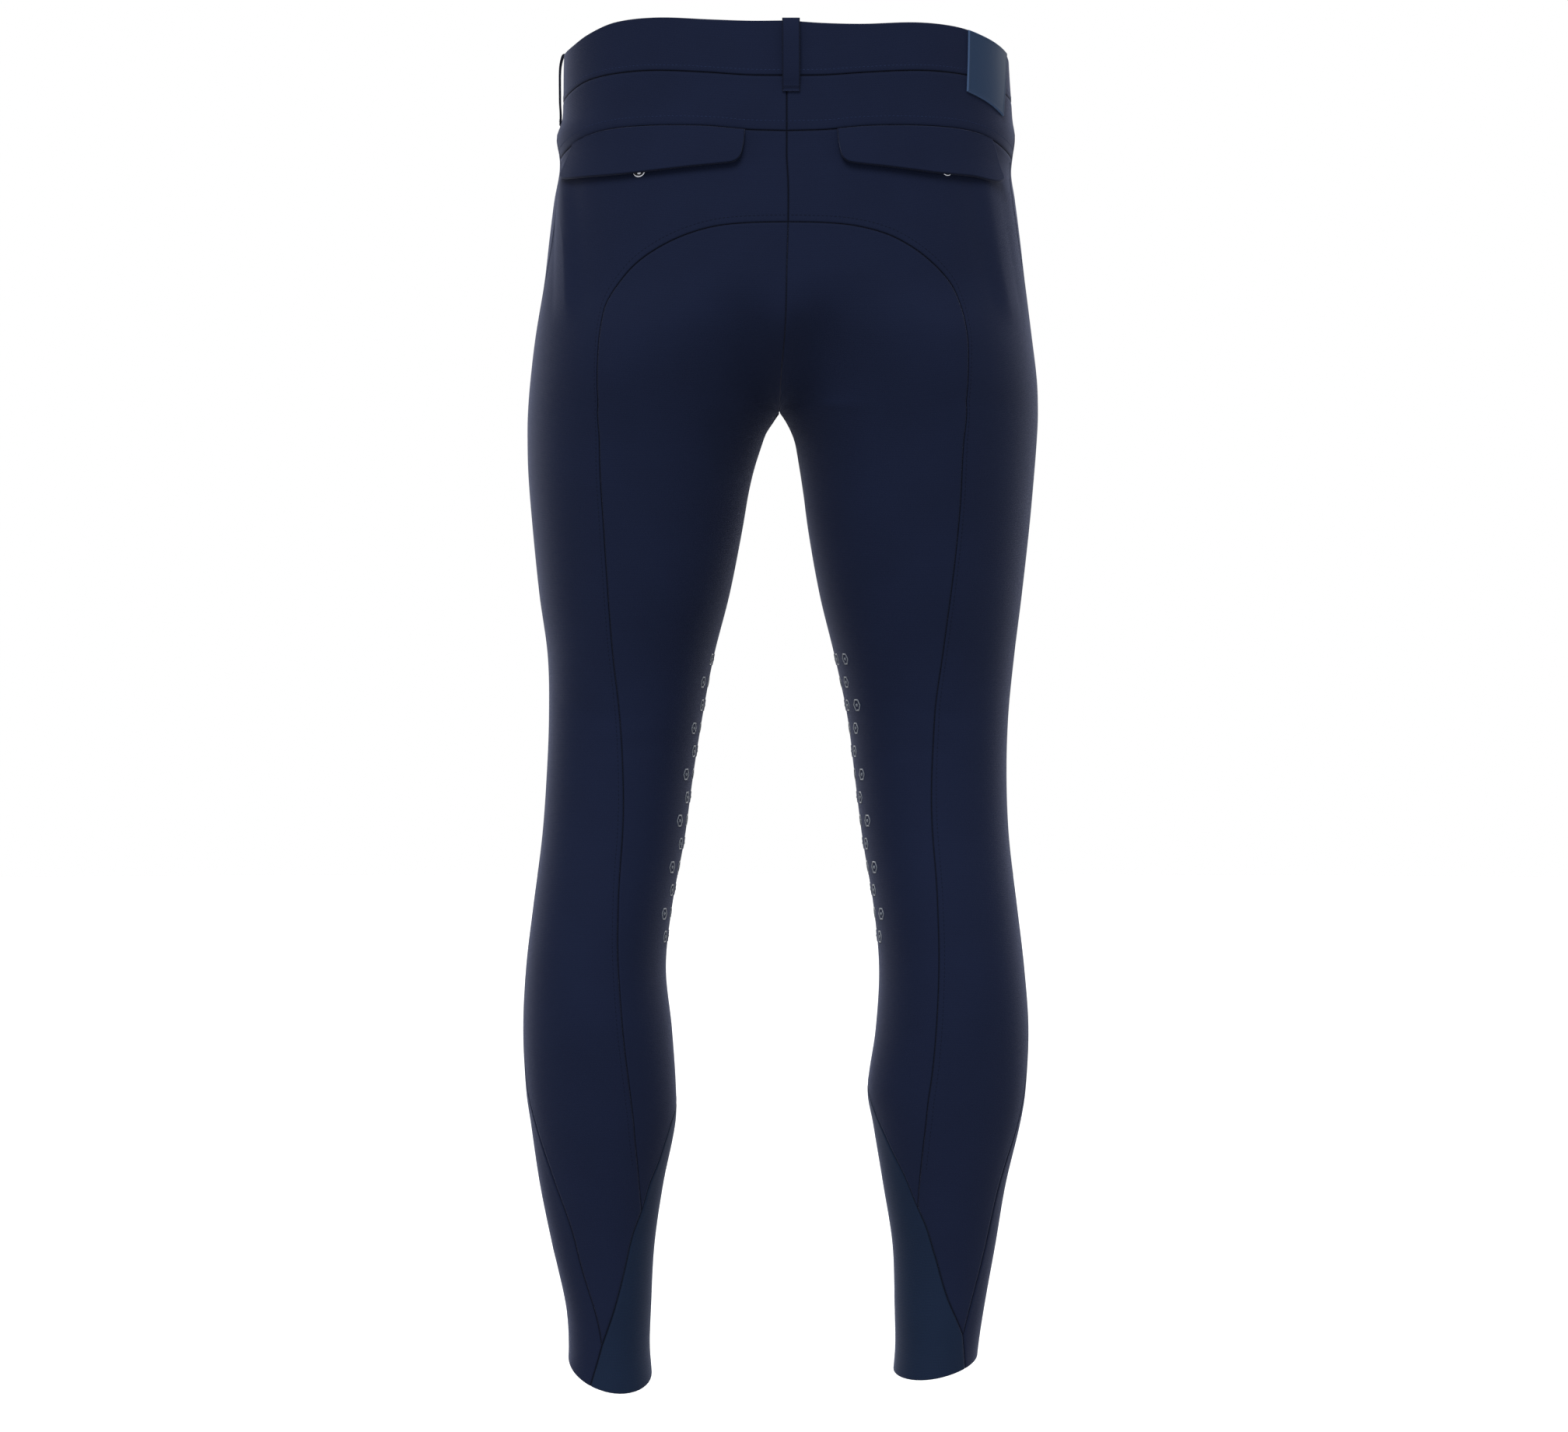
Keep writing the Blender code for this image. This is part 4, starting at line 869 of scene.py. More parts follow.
def cloth_material(name, colour, rib_mm, rib_depth, fuzz, sheen, roughness, rib_run):
    """Matte stretch cloth. Its fine rib or twill breaks the light up at the real pitch, its
    fibre fuzz keeps it matte and lights up its turned-away sides, and painted shade darkens
    its colour where it turns in at a seam and along the edges of flaps and loops."""
    material, tree, shader = new_material(
        name, Roughness=roughness, Specular_IOR_Level=0.05, Sheen_Weight=sheen,
        Sheen_Roughness=0.35, Sheen_Tint=linear(SHEEN_LILAC))
    cut = add_node(tree, "ShaderNodeUVMap", uv_map="cut")
    rib, cross = [
        add_node(tree, "ShaderNodeTexWave",
                 {"Vector": cut, "Scale": 2 * pi / WAVE_SPEED[run] / (pitch * MM),
                  "Distortion": distortion, "Detail": 1.0, "Detail Scale": detail_scale},
                 wave_type="BANDS", bands_direction=run).outputs["Fac"]
        for run, pitch, distortion, detail_scale in ((rib_run, rib_mm, 0.5, 1.5),
                                                     ("Y", rib_mm * 1.35, 0.6, 1.0))]
    weave = add_node(tree, "ShaderNodeMath", {0: rib, 1: cross}, operation="MULTIPLY")
    fibre, cloud = [
        add_node(tree, "ShaderNodeTexNoise", {"Vector": cut, "Scale": 1 / (size * MM),
                                              "Detail": detail, "Roughness": rough})
        for size, detail, rough in ((0.45, 2.0, 0.5), (55, 3.0, 0.55))]
    # painted shade: the edge attribute drops the colour as low as 0.35 at a seam and along a
    # flap's or loop's edge, fading out by SEAM_SHADE, where shade falls in the groove and under
    # the edge
    edge = add_node(tree, "ShaderNodeAttribute", attribute_name="edge").outputs["Fac"]
    tone = toned(tree, colour, (weave, 0.0, 1.0, 0.86, 1.14),
                 (fibre, 0.25, 0.75, 1 - fuzz, 1 + fuzz), (cloud, 0.3, 0.7, 0.95, 1.05),
                 (edge, 0.1, SEAM_SHADE, 0.35, 1.0))
    height = add_node(tree, "ShaderNodeMath", {0: weave, 1: fibre}, operation="ADD")
    cover(tree, shader, tone, height, rib_depth, 0.6)
    return material


def patch_material():
    """Moulded rubbery patch: satin face, fine pebble, a painted highlight on its pressed rim."""
    material, tree, shader = new_material("moulded_patch", Roughness=0.62,
                                          Specular_IOR_Level=0.08)
    cut = add_node(tree, "ShaderNodeUVMap", uv_map="cut")
    pebble = add_node(tree, "ShaderNodeTexVoronoi", {"Vector": cut, "Scale": 1 / (0.7 * MM)})
    edge = add_node(tree, "ShaderNodeAttribute", attribute_name="edge").outputs["Fac"]
    # painted highlight: the colour turns paler within 0.3 to 0.9 mm of the rim
    pale = add_node(tree, "ShaderNodeMapRange",
                    {"Value": edge, "From Min": SEAM_SHADE + 0.3,
                     "From Max": SEAM_SHADE + 0.9, "To Min": 1.0, "To Max": 0.0})
    tone = add_node(tree, "ShaderNodeMix",
                    {"Factor": pale, "A": linear(PATCH_TEAL), "B": linear(PATCH_RIM_HIGHLIGHT)},
                    data_type="RGBA")
    cover(tree, shader, tone, pebble, 0.06, 0.5)
    return material


def grained_material(name, grain_mm, low, high, colour=None, detail=2.0, twist=False,
                     **shader_inputs):
    """A material with a fine grain or a slant twist in its colour, or else in its gloss."""
    material, tree, shader = new_material(name, **shader_inputs)
    inputs = {"Vector": add_node(tree, "ShaderNodeTexCoord").outputs["Object"],
              "Scale": 1 / (grain_mm * MM)}
    if twist:
        grain = add_node(tree, "ShaderNodeTexWave", inputs,
                         bands_direction="DIAGONAL").outputs["Fac"]
    else:
        grain = add_node(tree, "ShaderNodeTexNoise", {**inputs, "Detail": detail})
    if colour:
        set_inputs(tree, shader, {"Base Color": toned(tree, colour, (grain, 0, 1, low, high))})
    else:
        gloss = add_node(tree, "ShaderNodeMapRange",
                         {"Value": grain, "To Min": low, "To Max": high})
        set_inputs(tree, shader, {"Roughness": gloss})
    return material


# ---- stitches and print ----

def new_tree(name, sizes, low, high):
    """A Geometry Nodes tree, with its inputs' sockets, the normals that its points carry
    and a random gain for each point."""
    tree = bpy.data.node_groups.new(name, "GeometryNodeTree")
    kinds = {"Geometry": "Geometry", **dict.fromkeys(sizes, "Float"), "Seed": "Int",
             "Material": "Material"}
    for label, kind in kinds.items():
        tree.interface.new_socket(label, in_out="INPUT", socket_type="NodeSocket" + kind)
    tree.interface.new_socket("Geometry", in_out="OUTPUT", socket_type="NodeSocketGeometry")
    given = add_node(tree, "NodeGroupInput").outputs
    out = add_node(tree, "GeometryNodeInputNamedAttribute", {"Name": "out"},
                   data_type="FLOAT_VECTOR")
    vary = add_node(tree, "FunctionNodeRandomValue",
                    {"Min": low, "Max": high, "Seed": given["Seed"]}, data_type="FLOAT")
    return tree, given, out, vary


def turned(tree, axis, towards, other, then):
    """A rotation that turns one axis to a vector and, about it, another to a second."""
    turn = add_node(tree, "FunctionNodeAlignRotationToVector", {"Vector": towards}, axis=axis)
    return add_node(tree, "FunctionNodeAlignRotationToVector",
                    {"Rotation": turn, "Vector": then}, axis=other, pivot_axis=axis)


def lay_copies(tree, material, points, thing, turn, scale):
    """Lays one thing on every point, as one smooth mesh of one material."""
    made = add_node(tree, "GeometryNodeInstanceOnPoints",
                    {"Points": points, "Instance": thing, "Rotation": turn, "Scale": scale})
    for kind in ("GeometryNodeRealizeInstances", "GeometryNodeSetShadeSmooth"):
        made = add_node(tree, kind, {"Geometry": made})
    made = add_node(tree, "GeometryNodeSetMaterial", {"Geometry": made, "Material": material})
    add_node(tree, "NodeGroupOutput", {"Geometry": made})
    return tree


def stitch_tree():
    """Geometry Nodes that lay one stitch at each pitch along a set of lines."""
    tree, given, out, vary = new_tree("stitches", ("Pitch", "Length", "Thickness"), 0.88, 1.1)
    curve = add_node(tree, "GeometryNodeMeshToCurve", {"Mesh": given["Geometry"]})
    even = add_node(tree, "GeometryNodeResampleCurve",
                    {"Curve": curve, "Length": given["Pitch"]}, mode="LENGTH")
    points = add_node(tree, "GeometryNodeCurveToPoints", {"Curve": even}, mode="EVALUATED")
    ball = add_node(tree, "GeometryNodeMeshUVSphere", {"Segments": 6, "Rings": 4, "Radius": 0.5})
    long = add_node(tree, "ShaderNodeMath", {0: given["Length"], 1: vary}, operation="MULTIPLY")
    size = add_node(tree, "ShaderNodeCombineXYZ",
                    {"X": long, "Y": given["Thickness"], "Z": given["Thickness"]})
    return lay_copies(tree, given["Material"], points, ball,
                      turned(tree, "X", points.outputs["Tangent"], "Z", out), size)


def run_nodes(name, source, tree, values):
    """The plain mesh that a Geometry Nodes tree makes of a source mesh."""
    item = place_object(name + "_source", source)
    modifier = item.modifiers.new("make", "NODES")
    modifier.node_group = tree
    for socket in tree.interface.items_tree:
        if socket.in_out == "INPUT" and socket.name in values:
            modifier[socket.identifier] = values[socket.name]
    bpy.context.view_layer.update()
    graph = bpy.context.evaluated_depsgraph_get()
    data = bpy.data.meshes.new_from_object(item.evaluated_get(graph))
    data.name = name
    bpy.data.objects.remove(item)
    return place_object(name, data)


def lines_mesh(name, lines):
    """Lines of (places, normals) in mm as a mesh of edges that carries the normals."""
    edges, first = [], 0
    for places, _ in lines:
        edges += [(first + k, first + k + 1) for k in range(len(places) - 1)]
        first += len(places)
    places, normals = (np.concatenate(parts) for parts in zip(*lines))
    data = new_mesh(name, places, edges)
    add_attribute(data, "out", normals)
    return data


def row_beside(grid, edge, inset):
    """Line in a panel's face at a distance from its first or its last edge."""
    way = -1 if edge == "last" else 1
    face = np.concatenate([grid.face, grid.normals], -1)[:, ::way]
    line = np.array([[np.interp(inset, off, column) for column in row.T]
                     for off, row in zip(grid.edges[edge][:, ::way], face)
                     if off[-1] > inset * 1.5])
    return line[:, :3], unit(line[:, 3:])


STITCH_SIZES = {
    # pitch, length and thickness, mm
    "row": (3.1, 2.2, 0.42),
    "tack": (1.0, 1.1, 0.6),
}
LIGHT_ROWS = ("waist", "front")     # the other rows are sewn in a thread darker than the cloth
PANEL_ROWS = {
    # a panel's row of stitches: set, the edge it runs beside, how far off, its lowest z
    "waistband": ("waist", "last", 4.0, -1000),
    "back_yoke": ("waist", "last", 7.0, -1000),
    "back_panel": ("seat", "first", 5.0, -800),
}


# ---- the sewn panels ----

def waist_points(column, t_from, t_to, shares=np.linspace(0, 1, 81)):
    """Points of a line round the waist, at shares of the way between two t."""
    t = t_from + (t_to - t_from) * shares
    return pair(t, waist_line(column, t))


def grids_of(half):
    """The grids of one half's panels."""
    arch, insert, inseam = seat_line(half), insert_line(half), inseam_line(half)
    above, side, below = side_above_yoke(half), side_line(half), side_below_tip(half)
    insert_front = insert_front_line(half)
    t_band, t_yoke = above[0, 0], above[-1, 0]
    yoke_seam = waist_points(YOKE_SEAM, 0, t_yoke)

    def hem(turns, shares):
        t = insert_front[-1, 0] + turns
        t = t + (below[-1, 0] - t) * shares
        return pair(t, hem_z(half, t))

    return {
        "waistband": panel_grid(half, [waist_points(TOP[half], 0, 1)],
                                [waist_points(BAND_SEAM, 0, 1)]),
        "back_yoke": panel_grid(half, [waist_points(BAND_SEAM, 0, t_band)], [yoke_seam],
                                end=lambda shares: trace(half, [above], shares)),
        "back_panel": panel_grid(half, [arch, insert[MEET:]], [yoke_seam, side]),
        "seat_panel": panel_grid(half, [centre_line(0.0, arch[0, 1]), inseam], [arch],
                                 end=lambda shares: trace(half, [insert[:MEET + 1]], shares)),
        "front_panel": panel_grid(
            half, [centre_line(1.0, waist_line(BAND_SEAM, 1.0)), inseam + ONE_TURN,
                   insert_front + ONE_TURN], [above, side, below],
            start=lambda shares: waist_points(BAND_SEAM, 1, t_band, shares),
            end=lambda shares: hem(1, shares)),
        "calf_insert": panel_grid(half, [insert_front], [insert, below],
                                  end=lambda shares: hem(0, shares)),
    }


WALLS = {"waistband": BAND_CLOTH, "calf_insert": INSERT_CLOTH}
FREE_EDGES = {"waistband": ("first",), "front_panel": ("end",), "calf_insert": ("end",)}


# ---- pieces laid on the panels ----

def laid_grid(half, t, z):
    """Points, normals and cut of a piece laid on one half."""
    return smooth_place(half, t, z), normal_at(half, t, z), cut_at(half, t, z)


def stitch_rows(over, normals, *places):
    """Rows of stitches along rows or columns of a laid piece's grid."""
    return [(over[place], normals[place]) for place in places]


def build_flap(half, material):
    """Back pocket flap: two layers turned out along its edge, standing off below."""
    shares, hem = np.array(FLAP_HEM, float).T
    across, down = spaced(130.0, 3.0), spaced(27.0, 2.0)[:, None]
    hem_line = (smooth_curve(shares, hem, across)
                - FLAP_OUTER_DROP[half] * smoothstep((across - FLAP_DROP_FROM) / FLAP_DROP_OVER))
    t_top, t_foot = FLAP_OUTER_T[half]
    t_outer = t_top + (t_foot - t_top) * down ** FLAP_OUTER_BOW
    t_inner = FLAP_INNER_T[half] + FLAP_INNER_LEAN * down ** 2
    t = t_inner + (t_outer - t_inner) * across
    top = waist_line(YOKE_SEAM, t)
    sheet = laid_grid(half, t, top + (hem_line - top) * down)
    # FLAP_SHADE gives the flap painted shade along its edges
    return laid_shell(f"flap_{SIDE_NAME[half]}", sheet, FLAP_CLOTH, material,
                      lift=LAY_GAP + FLAP_LIFT * np.sin(down * pi / 2), radius=1.3,
                      bead=0.12, shade=FLAP_SHADE)[0]


def build_patch(material):
    u, v = np.meshgrid(spaced(45.0, 2.5), spaced(48.0, 2.5))
    inner, outer = PATCH_T[0] - PATCH_LEAN[0] * v, PATCH_T[1] - PATCH_LEAN[1] * v
    t = inner + (outer - inner) * u
    top = waist_line(TOP[RIGHT], t) - PATCH_TOP_SETBACK
    drop = PATCH_BELOW_SEAM[0] + (PATCH_BELOW_SEAM[1] - PATCH_BELOW_SEAM[0]) * u
    z = top + (waist_line(BAND_SEAM, t) - drop - top) * v
    return laid_shell("patch", laid_grid(RIGHT, t, z), TRIM_CLOTH, material, bead=0.3)[0]


def front_t(half, x, z):
    """The t of the cloth at x from the centre front seam."""
    return solve_t(half, outline_x(RIGHT, INNER, z) + x, z, 1.0, 0.55)


def front_grid(x, z):
    """Points, normals and cut of a piece laid across both halves of the front."""
    left, right = (laid_grid(half, front_t(half, x, z), z) for half in (LEFT, RIGHT))
    on_right = (x >= 0)[..., None]
    return [np.where(on_right, b, a) for a, b in zip(left, right)]


def build_fly(material):
    top = waist_line(BAND_SEAM, 1.0) - 1
    depth = top - FLY_BOTTOM_Z
    z = top - spaced(depth, 3.0)[:, None] * depth
    bend = np.clip((FLY_BOTTOM_Z + FLY_CURVE_DEPTH - z) / FLY_CURVE_DEPTH, 0, 1)
    wide = np.maximum(FLY_WIDTH * np.sqrt(1 - bend ** 2), FLY_FOOT)
    x = -wide + (FLY_OVERLAP + wide) * spaced(42.0, 3.0)
    sheet = front_grid(x, np.broadcast_to(z, x.shape))
    item, *face = laid_shell("fly", sheet, TRIM_CLOTH, material)
    # the curved row of stitches that holds the fly from behind, and the row by its edge
    return item, stitch_rows(*face, np.s_[2:, 6], np.s_[:-3, -5])


def build_tab(material):
    u, v = np.meshgrid(spaced(42.0, 2.5), spaced(34.0, 2.5))
    x = TAB_START + (TAB_LENGTH - TAB_START) * u
    t = 1 - np.abs(x) / TAB_TURN
    top = waist_line(TOP[RIGHT], t) - TAB_SETBACK
    sheet = front_grid(x, top + (waist_line(BAND_SEAM, t) + TAB_SETBACK - top) * v)
    item, *face = laid_shell("tab", sheet, BAND_CLOTH, material, radius=1.0, bead=0.1)
    return item, stitch_rows(*face, np.s_[5, 5:-5], np.s_[5:-5, -6], np.s_[-6, 5:-5])


def build_welt(half, material):
    top_z = waist_line(BAND_SEAM, WELT_TOP_T) - 1
    share, edge = np.meshgrid(spaced(150.0, 4.0), spaced(WELT_WIDTH, 1.5), indexing="ij")
    lean = (1 - WELT_BEND) * share + WELT_BEND * share ** 2
    t = WELT_TOP_T + (WELT_BOTTOM_T - WELT_TOP_T) * lean
    z = top_z + (WELT_BOTTOM_Z - top_z) * share
    t = t + edge * WELT_WIDTH / turn_length(half, t + 0.005, z)
    item, *face = laid_shell(f"welt_{SIDE_NAME[half]}", laid_grid(half, t, z), TRIM_CLOTH,
                             material)
    return item, stitch_rows(*face, np.s_[3:-3, 3], np.s_[3:-3, -4])


def build_loop(name, half, t, below_seam, material):
    """Belt loop: a folded strip, bar-tacked at its lower end, turned over the band's top at the
    other and standing off between.
    """
    top = float(waist_line(TOP[half], t))
    bottom = float(waist_line(BAND_SEAM, t)) - below_seam
    profile = SIDE_LOOP_PROFILE if name == "loop_side_left" else LOOP_PROFILE
    spine = [(off, bottom + (top - bottom) * share) for off, share in profile]
    spine += [(0.6, top + LOOP_OVER_TOP), (-BAND_CLOTH + 0.5, top + LOOP_OVER_TOP)]
    spine = np.array(spine)
    along = lengths(spine)
    fine = spaced(along[-1], 1.6) * along[-1]
    line = np.column_stack([smooth_curve(along, column, fine) for column in spine.T])
    run = unit(np.gradient(line, axis=0))
    out = np.column_stack([run[:, 1], -run[:, 0]]) * LOOP_THICK / 2
    normal = unit(normal_at(half, t, top) * (1, 1, 0))
    sideways = np.array([-normal[1], normal[0], 0])
    wide = (spaced(LOOP_WIDTH, 1.2) - 0.5) * LOOP_WIDTH
    edge = LOOP_WIDTH / 2 - np.abs(wide)

    def sheet(line, lift):
        base = smooth_place(half, t, line[:, 1]) + normal * line[:, :1]
        return base[:, None] + sideways * wide[:, None] + normal * lift[:, None]

    cut = np.stack(np.meshgrid(wide, fine), -1)
    # the distance from its long sides goes out as the edge attribute, which the cloth turns into
    # painted shade along them
    edges = np.broadcast_to(edge, (len(fine), len(wide)))
    over = sheet(line + out, 0.12 - rounded(edge, 0.7, 0.5))
    item = closed_shell(name, over, sheet(line - out, 0 * edge), cut, edges, material)
    tacks = [int(np.argmin(np.abs(fine - place))) for place in TACK_PLACES]
    return item, stitch_rows(over, np.broadcast_to(normal, over.shape),
                             *[np.s_[at, 2:-2] for at in tacks])


def lathe(name, half, t, z, profile, material):
    """A round metal piece whose profile is (radius, height) from the rim's foot inwards."""
    place, normal = smooth_place(half, t, z), normal_at(half, t, z)
    across = unit(np.cross(normal, (0, 0, 1)))
    sides = LATHE_SIDES
    angle = np.linspace(0, 2 * pi, sides, endpoint=False)[:, None]
    ring = across * np.cos(angle) + np.cross(across, normal) * np.sin(angle)
    points = np.concatenate([place + normal * height + ring * radius
                             for radius, height in profile])
    faces = []
    for a in range(len(points) - sides):
        b = a + 1 if (a + 1) % sides else a + 1 - sides
        faces.append((a, b, b + sides, a + sides))
    faces += [tuple(range(sides))[::-1], tuple(range(len(points) - sides, len(points)))]
    data = new_mesh(name, points, faces=faces)
    data.validate()
    return finish_solid(data, material, 0.6)


LATHE_SIDES = 40
STUD_PROFILE = (
    # radius, height off the cloth
    (4.9, 0.45), (5.0, 0.7), (4.9, 1.0), (4.5, 1.25), (3.9, 1.2), (3.2, 0.95), (2.6, 0.9),
    (2.1, 1.1), (1.6, 1.32), (0.9, 1.34),
)
BUTTON_PROFILE = (
    (6.6, 3.3), (7.0, 3.7), (6.9, 4.25), (6.4, 4.7), (5.7, 4.75), (5.0, 4.5), (3.6, 4.55),
    (2.2, 4.75), (0.8, 4.85),
)


# ---- grip print ----

def grip_tree():
    """Geometry Nodes that print one raised six-sided ring with a dot on every point."""
    tree, given, out, vary = new_tree("grip_print", ("Radius", "Bead", "Dot", "Height Share"),
                                      0.96, 1.03)
    ring, bead = [add_node(tree, "GeometryNodeCurvePrimitiveCircle",
                           {"Resolution": sides, "Radius": given[label]})
                  for sides, label in ((6, "Radius"), (8, "Bead"))]
    tube = add_node(tree, "GeometryNodeCurveToMesh", {"Curve": ring, "Profile Curve": bead})
    dot = add_node(tree, "GeometryNodeMeshUVSphere",
                   {"Segments": 10, "Rings": 6, "Radius": given["Dot"]})
    both = add_node(tree, "GeometryNodeJoinGeometry", {0: dot})
    set_inputs(tree, both, {0: tube})
    squash = add_node(tree, "ShaderNodeCombineXYZ",
                      {"X": 1.0, "Y": 1.0, "Z": given["Height Share"]})
    motif = add_node(tree, "GeometryNodeTransform", {"Geometry": both, "Scale": squash})
    points = add_node(tree, "GeometryNodeMeshToPoints", {"Mesh": given["Geometry"]})
    return lay_copies(tree, given["Material"], points, motif,
                      turned(tree, "Z", out, "Y", (0, 0, 1)), vary)


def build_grip(half, tree, material):
    """Rings in brick rows inside the knee, clear of the inseam."""
    around, down = GRIP_PITCH
    places = []
    for row in range(int((GRIP_TOP - GRIP_BOTTOM) / down) + 1):
        z = GRIP_TOP - row * down
        for column in np.arange(-12, 8) + 0.5 + row % 2 / 2:
            t = float(inseam_t(z)) + column * (around / turn_length(half, 0.0, z))
            clear = abs(column) * around > GRIP_RADIUS + GRIP_CLEAR
            if clear and GRIP_T[half][0] <= t <= GRIP_T[half][1]:
                places.append((t, z))
    t, z = np.array(places).T
    normals = normal_at(half, t, z)
    data = new_mesh("grip", smooth_place(half, t, z) + normals * GRIP_LIFT)
    add_attribute(data, "out", normals)
    return run_nodes(f"grip_print_{SIDE_NAME[half]}", data, tree,
                     {"Radius": GRIP_RADIUS * MM, "Bead": GRIP_BEAD * MM, "Dot": GRIP_DOT * MM,
                      "Height Share": GRIP_HEIGHT_SHARE, "Seed": 5 + half,
                      "Material": material})


# ---- the scene ----

def dress(item, replaced):
    """An added piece rides on the body and stands for the CAD nodes it covers."""
    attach(item, "root")
    if replaced:
        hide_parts(*replaced)


def dress_sheet(item, replaced):
    """Dresses a piece of cloth."""
    dress(item, replaced)


def add_light(name, kind, place, run, **settings):
    """A light whose rays run one way."""
    data = bpy.data.lights.new(name, kind)
    for key, value in settings.items():
        setattr(data, key, value)
    item = place_object(name, data)
    item.location = place
    item.rotation_euler = Vector(run).to_track_quat("-Z", "Y").to_euler()


STAGE_RADIUS, STAGE_SIDES, STAGE_Z = 14000, 96, -1060     # mm; the floor lies under the hems
SUN_STRENGTH, SUN_ANGLE = 4.2, 0.55
SUN_RUN = (0.12, 0.66, -0.75)       # the way its light runs
RIM_AIM, RIM_WIDTH, RIM_HEIGHT = (0, 0, -0.25), 0.7, 1.0
RIM_LIGHTS = (
    # name, place, power in watts
    ("rim_left", (-1.5, 1.5, -0.1), 17),
    ("rim_right", (1.5, 1.5, -0.1), 15),
)
LENS_MM, SENSOR_MM, CAMERA_PLACE = 108.3, 36.0, (0, -3.5, -0.470)


def build_stage():
    """White studio: a wide pale floor under the hems, a bright surround and soft lights."""
    turns = 2 * pi * np.arange(STAGE_SIDES) / STAGE_SIDES
    ring = np.column_stack([STAGE_RADIUS * np.cos(turns), STAGE_RADIUS * np.sin(turns),
                            np.full(STAGE_SIDES, STAGE_Z)])
    data = new_mesh("studio_floor", ring, faces=[tuple(range(STAGE_SIDES))])
    material, tree, shader = new_material("studio_paper", Roughness=0.9,
                                          Emission_Color=(1, 1, 1, 1), Emission_Strength=0.86)
    grain = add_node(tree, "ShaderNodeTexNoise", {"Scale": 60.0, "Detail": 3.0})
    tone = add_node(tree, "ShaderNodeMapRange", {"Value": grain, "To Min": 0.19, "To Max": 0.22})
    set_inputs(tree, shader, {"Base Color": tone})
    data.materials.append(material)
    place_object("studio_floor", data)

    world = bpy.data.worlds.new("studio")
    world.use_nodes = True
    set_inputs(world.node_tree, world.node_tree.nodes["Background"],
               {"Color": (1, 1, 1, 1), "Strength": 1.0})
    bpy.context.scene.world = world
    for name, place, power in RIM_LIGHTS:
        add_light(name, "AREA", place, Vector(RIM_AIM) - Vector(place), shape="RECTANGLE",
                  size=RIM_WIDTH, size_y=RIM_HEIGHT, energy=power)
    add_light("overhead", "SUN", (0, 0, 0), SUN_RUN, energy=SUN_STRENGTH, angle=SUN_ANGLE)


def build_camera():
    data = bpy.data.cameras.new("camera")
    data.lens, data.sensor_width = LENS_MM, SENSOR_MM
    data.clip_start, data.clip_end = 0.1, 60.0
    camera = place_object("camera", data)
    camera.location = CAMERA_PLACE
    camera.rotation_euler = (pi / 2, 0, 0)
    scene = bpy.context.scene
    scene.camera = camera
    scene.view_settings.view_transform = "Standard"
    scene.view_settings.look = "None"


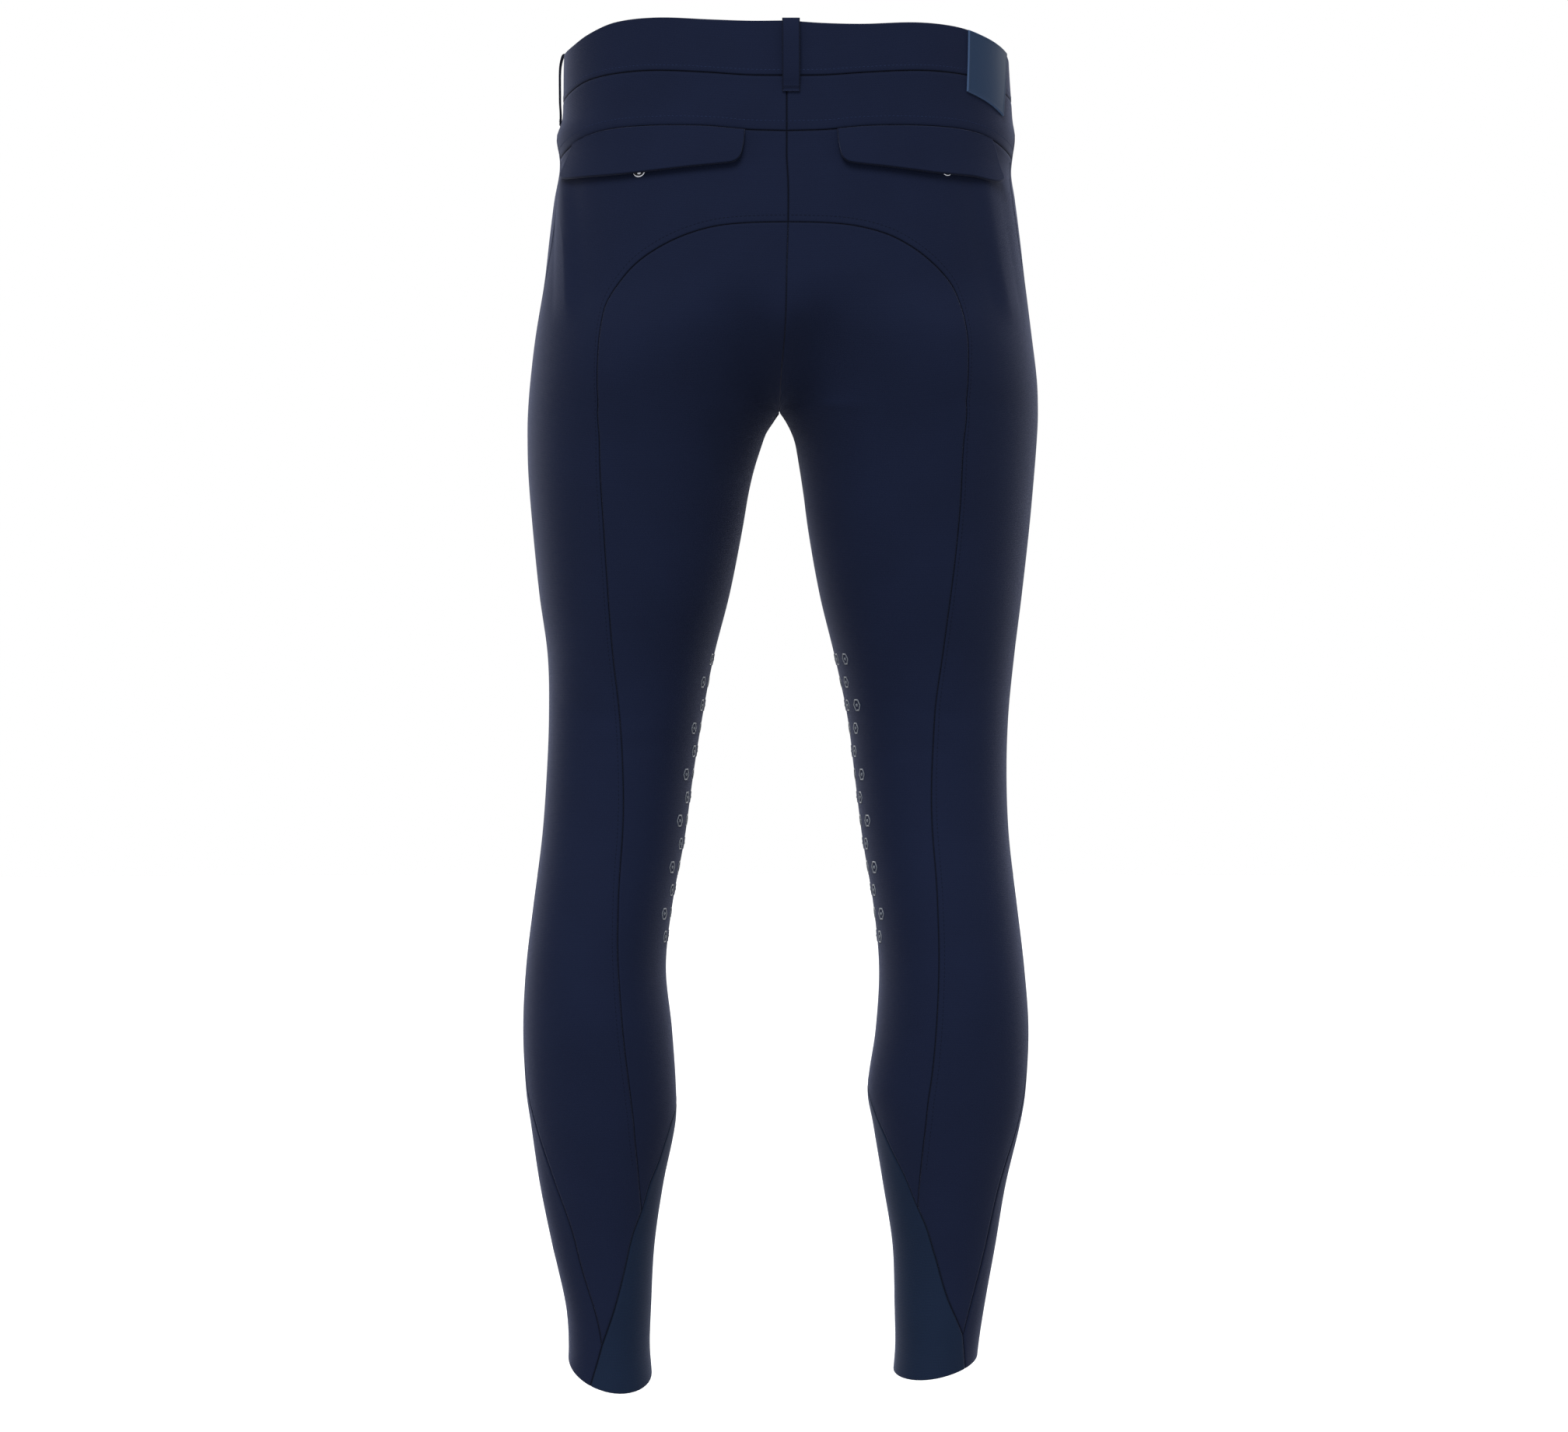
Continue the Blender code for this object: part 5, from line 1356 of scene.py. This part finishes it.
def main():
    twill = cloth_material("navy_bonded_twill", NAVY, 0.62, 0.10, 0.10, 0.15, 0.86, "DIAGONAL")
    knit = cloth_material("teal_warp_knit", TEAL_NAVY, 0.85, 0.08, 0.08, 0.13, 0.78, "X")
    patch_rubber = patch_material()
    # twisted polyester thread: a fine slant twist and a faint lustre
    light_thread, dark_thread = [
        grained_material(name, 0.9, 0.7, 1.2, colour, twist=True, Roughness=0.75,
                         Specular_IOR_Level=0.04)
        for name, colour in (("polyester_thread", THREAD_LIGHT),
                             ("tonal_polyester_thread", THREAD_DARK))]
    # clear silicone print: satin, a little see-through, so it glints at the leg's edge
    silicone = grained_material("silicone_print", 1.5, 0.8, 1.15, GRIP_GREY, Roughness=0.4,
                                Coat_Weight=0.08, Coat_Roughness=0.15, IOR=1.41,
                                Transmission_Weight=0.3, Specular_IOR_Level=0.2)
    # nickel-plated pressed brass: bright, with fine tumbling marks in its gloss
    nickel = grained_material("nickel_plate", 0.8, 0.16, 0.38, detail=4.0, Metallic=1.0,
                              Base_Color=linear(NICKEL))
    stitches, prints = stitch_tree(), grip_tree()
    rows = {"waist": [], "seat": [], "front": [], "tack": []}

    for half in (LEFT, RIGHT):
        side = SIDE_NAME[half]
        for name, grid in grids_of(half).items():
            knitted = name == "calf_insert"
            item = sewn_shell(f"cloth_{name}_{side}", grid, WALLS.get(name, CLOTH),
                              knit if knitted else twill, FREE_EDGES.get(name, ()))
            dress_sheet(item, [f"{name}_{side}"])
            if name in PANEL_ROWS:
                row, edge, inset, lowest = PANEL_ROWS[name]
                places, outs = row_beside(grid, edge, inset)
                keep = places[:, 2] > lowest
                rows[row].append((places[keep], outs[keep]))

        dress_sheet(build_flap(half, twill), [f"pocket_flap_{side}"])
        welt, welt_rows = build_welt(half, twill)
        dress_sheet(welt, [f"pocket_welt_{side}"])
        rows["front"] += welt_rows
        x, z = SNAP_PLACES[half]
        stud = lathe(f"stud_{side}", half, solve_t(half, half * x, z), z, STUD_PROFILE, nickel)
        dress(stud, [f"pocket_snap_{side}"])
        dress(build_grip(half, prints, silicone), [])

    for name, (half, t, below_seam) in LOOPS.items():
        loop, tacks = build_loop(name.replace("belt_loop", "loop"), half, t, below_seam, twill)
        dress_sheet(loop, [name])
        rows["tack"] += tacks
    dress(build_patch(patch_rubber), ["waist_patch"])
    for build, node, under in ((build_fly, "fly_front", "front_panel_left"),
                               (build_tab, "waist_tab", "waistband_right")):
        item, item_rows = build(twill)
        dress_sheet(item, [node])
        rows["front"] += item_rows
    z = (waist_line(TOP[RIGHT], BUTTON_T) + waist_line(BAND_SEAM, BUTTON_T)) / 2
    button_t = front_t(RIGHT, TAB_LENGTH * BUTTON_SHARE, z)
    dress(lathe("button", RIGHT, button_t, z, BUTTON_PROFILE, nickel), ["waist_button"])

    for seed, (name, lines) in enumerate(rows.items()):
        pitch, length, thick = STITCH_SIZES["tack" if name == "tack" else "row"]
        item = run_nodes(f"stitches_{name}", lines_mesh(f"{name}_lines", lines), stitches,
                         {"Pitch": pitch * MM, "Length": length * MM, "Thickness": thick * MM,
                          "Seed": seed,
                          "Material": light_thread if name in LIGHT_ROWS else dark_thread})
        dress(item, [])

    build_stage()
    build_camera()


main()
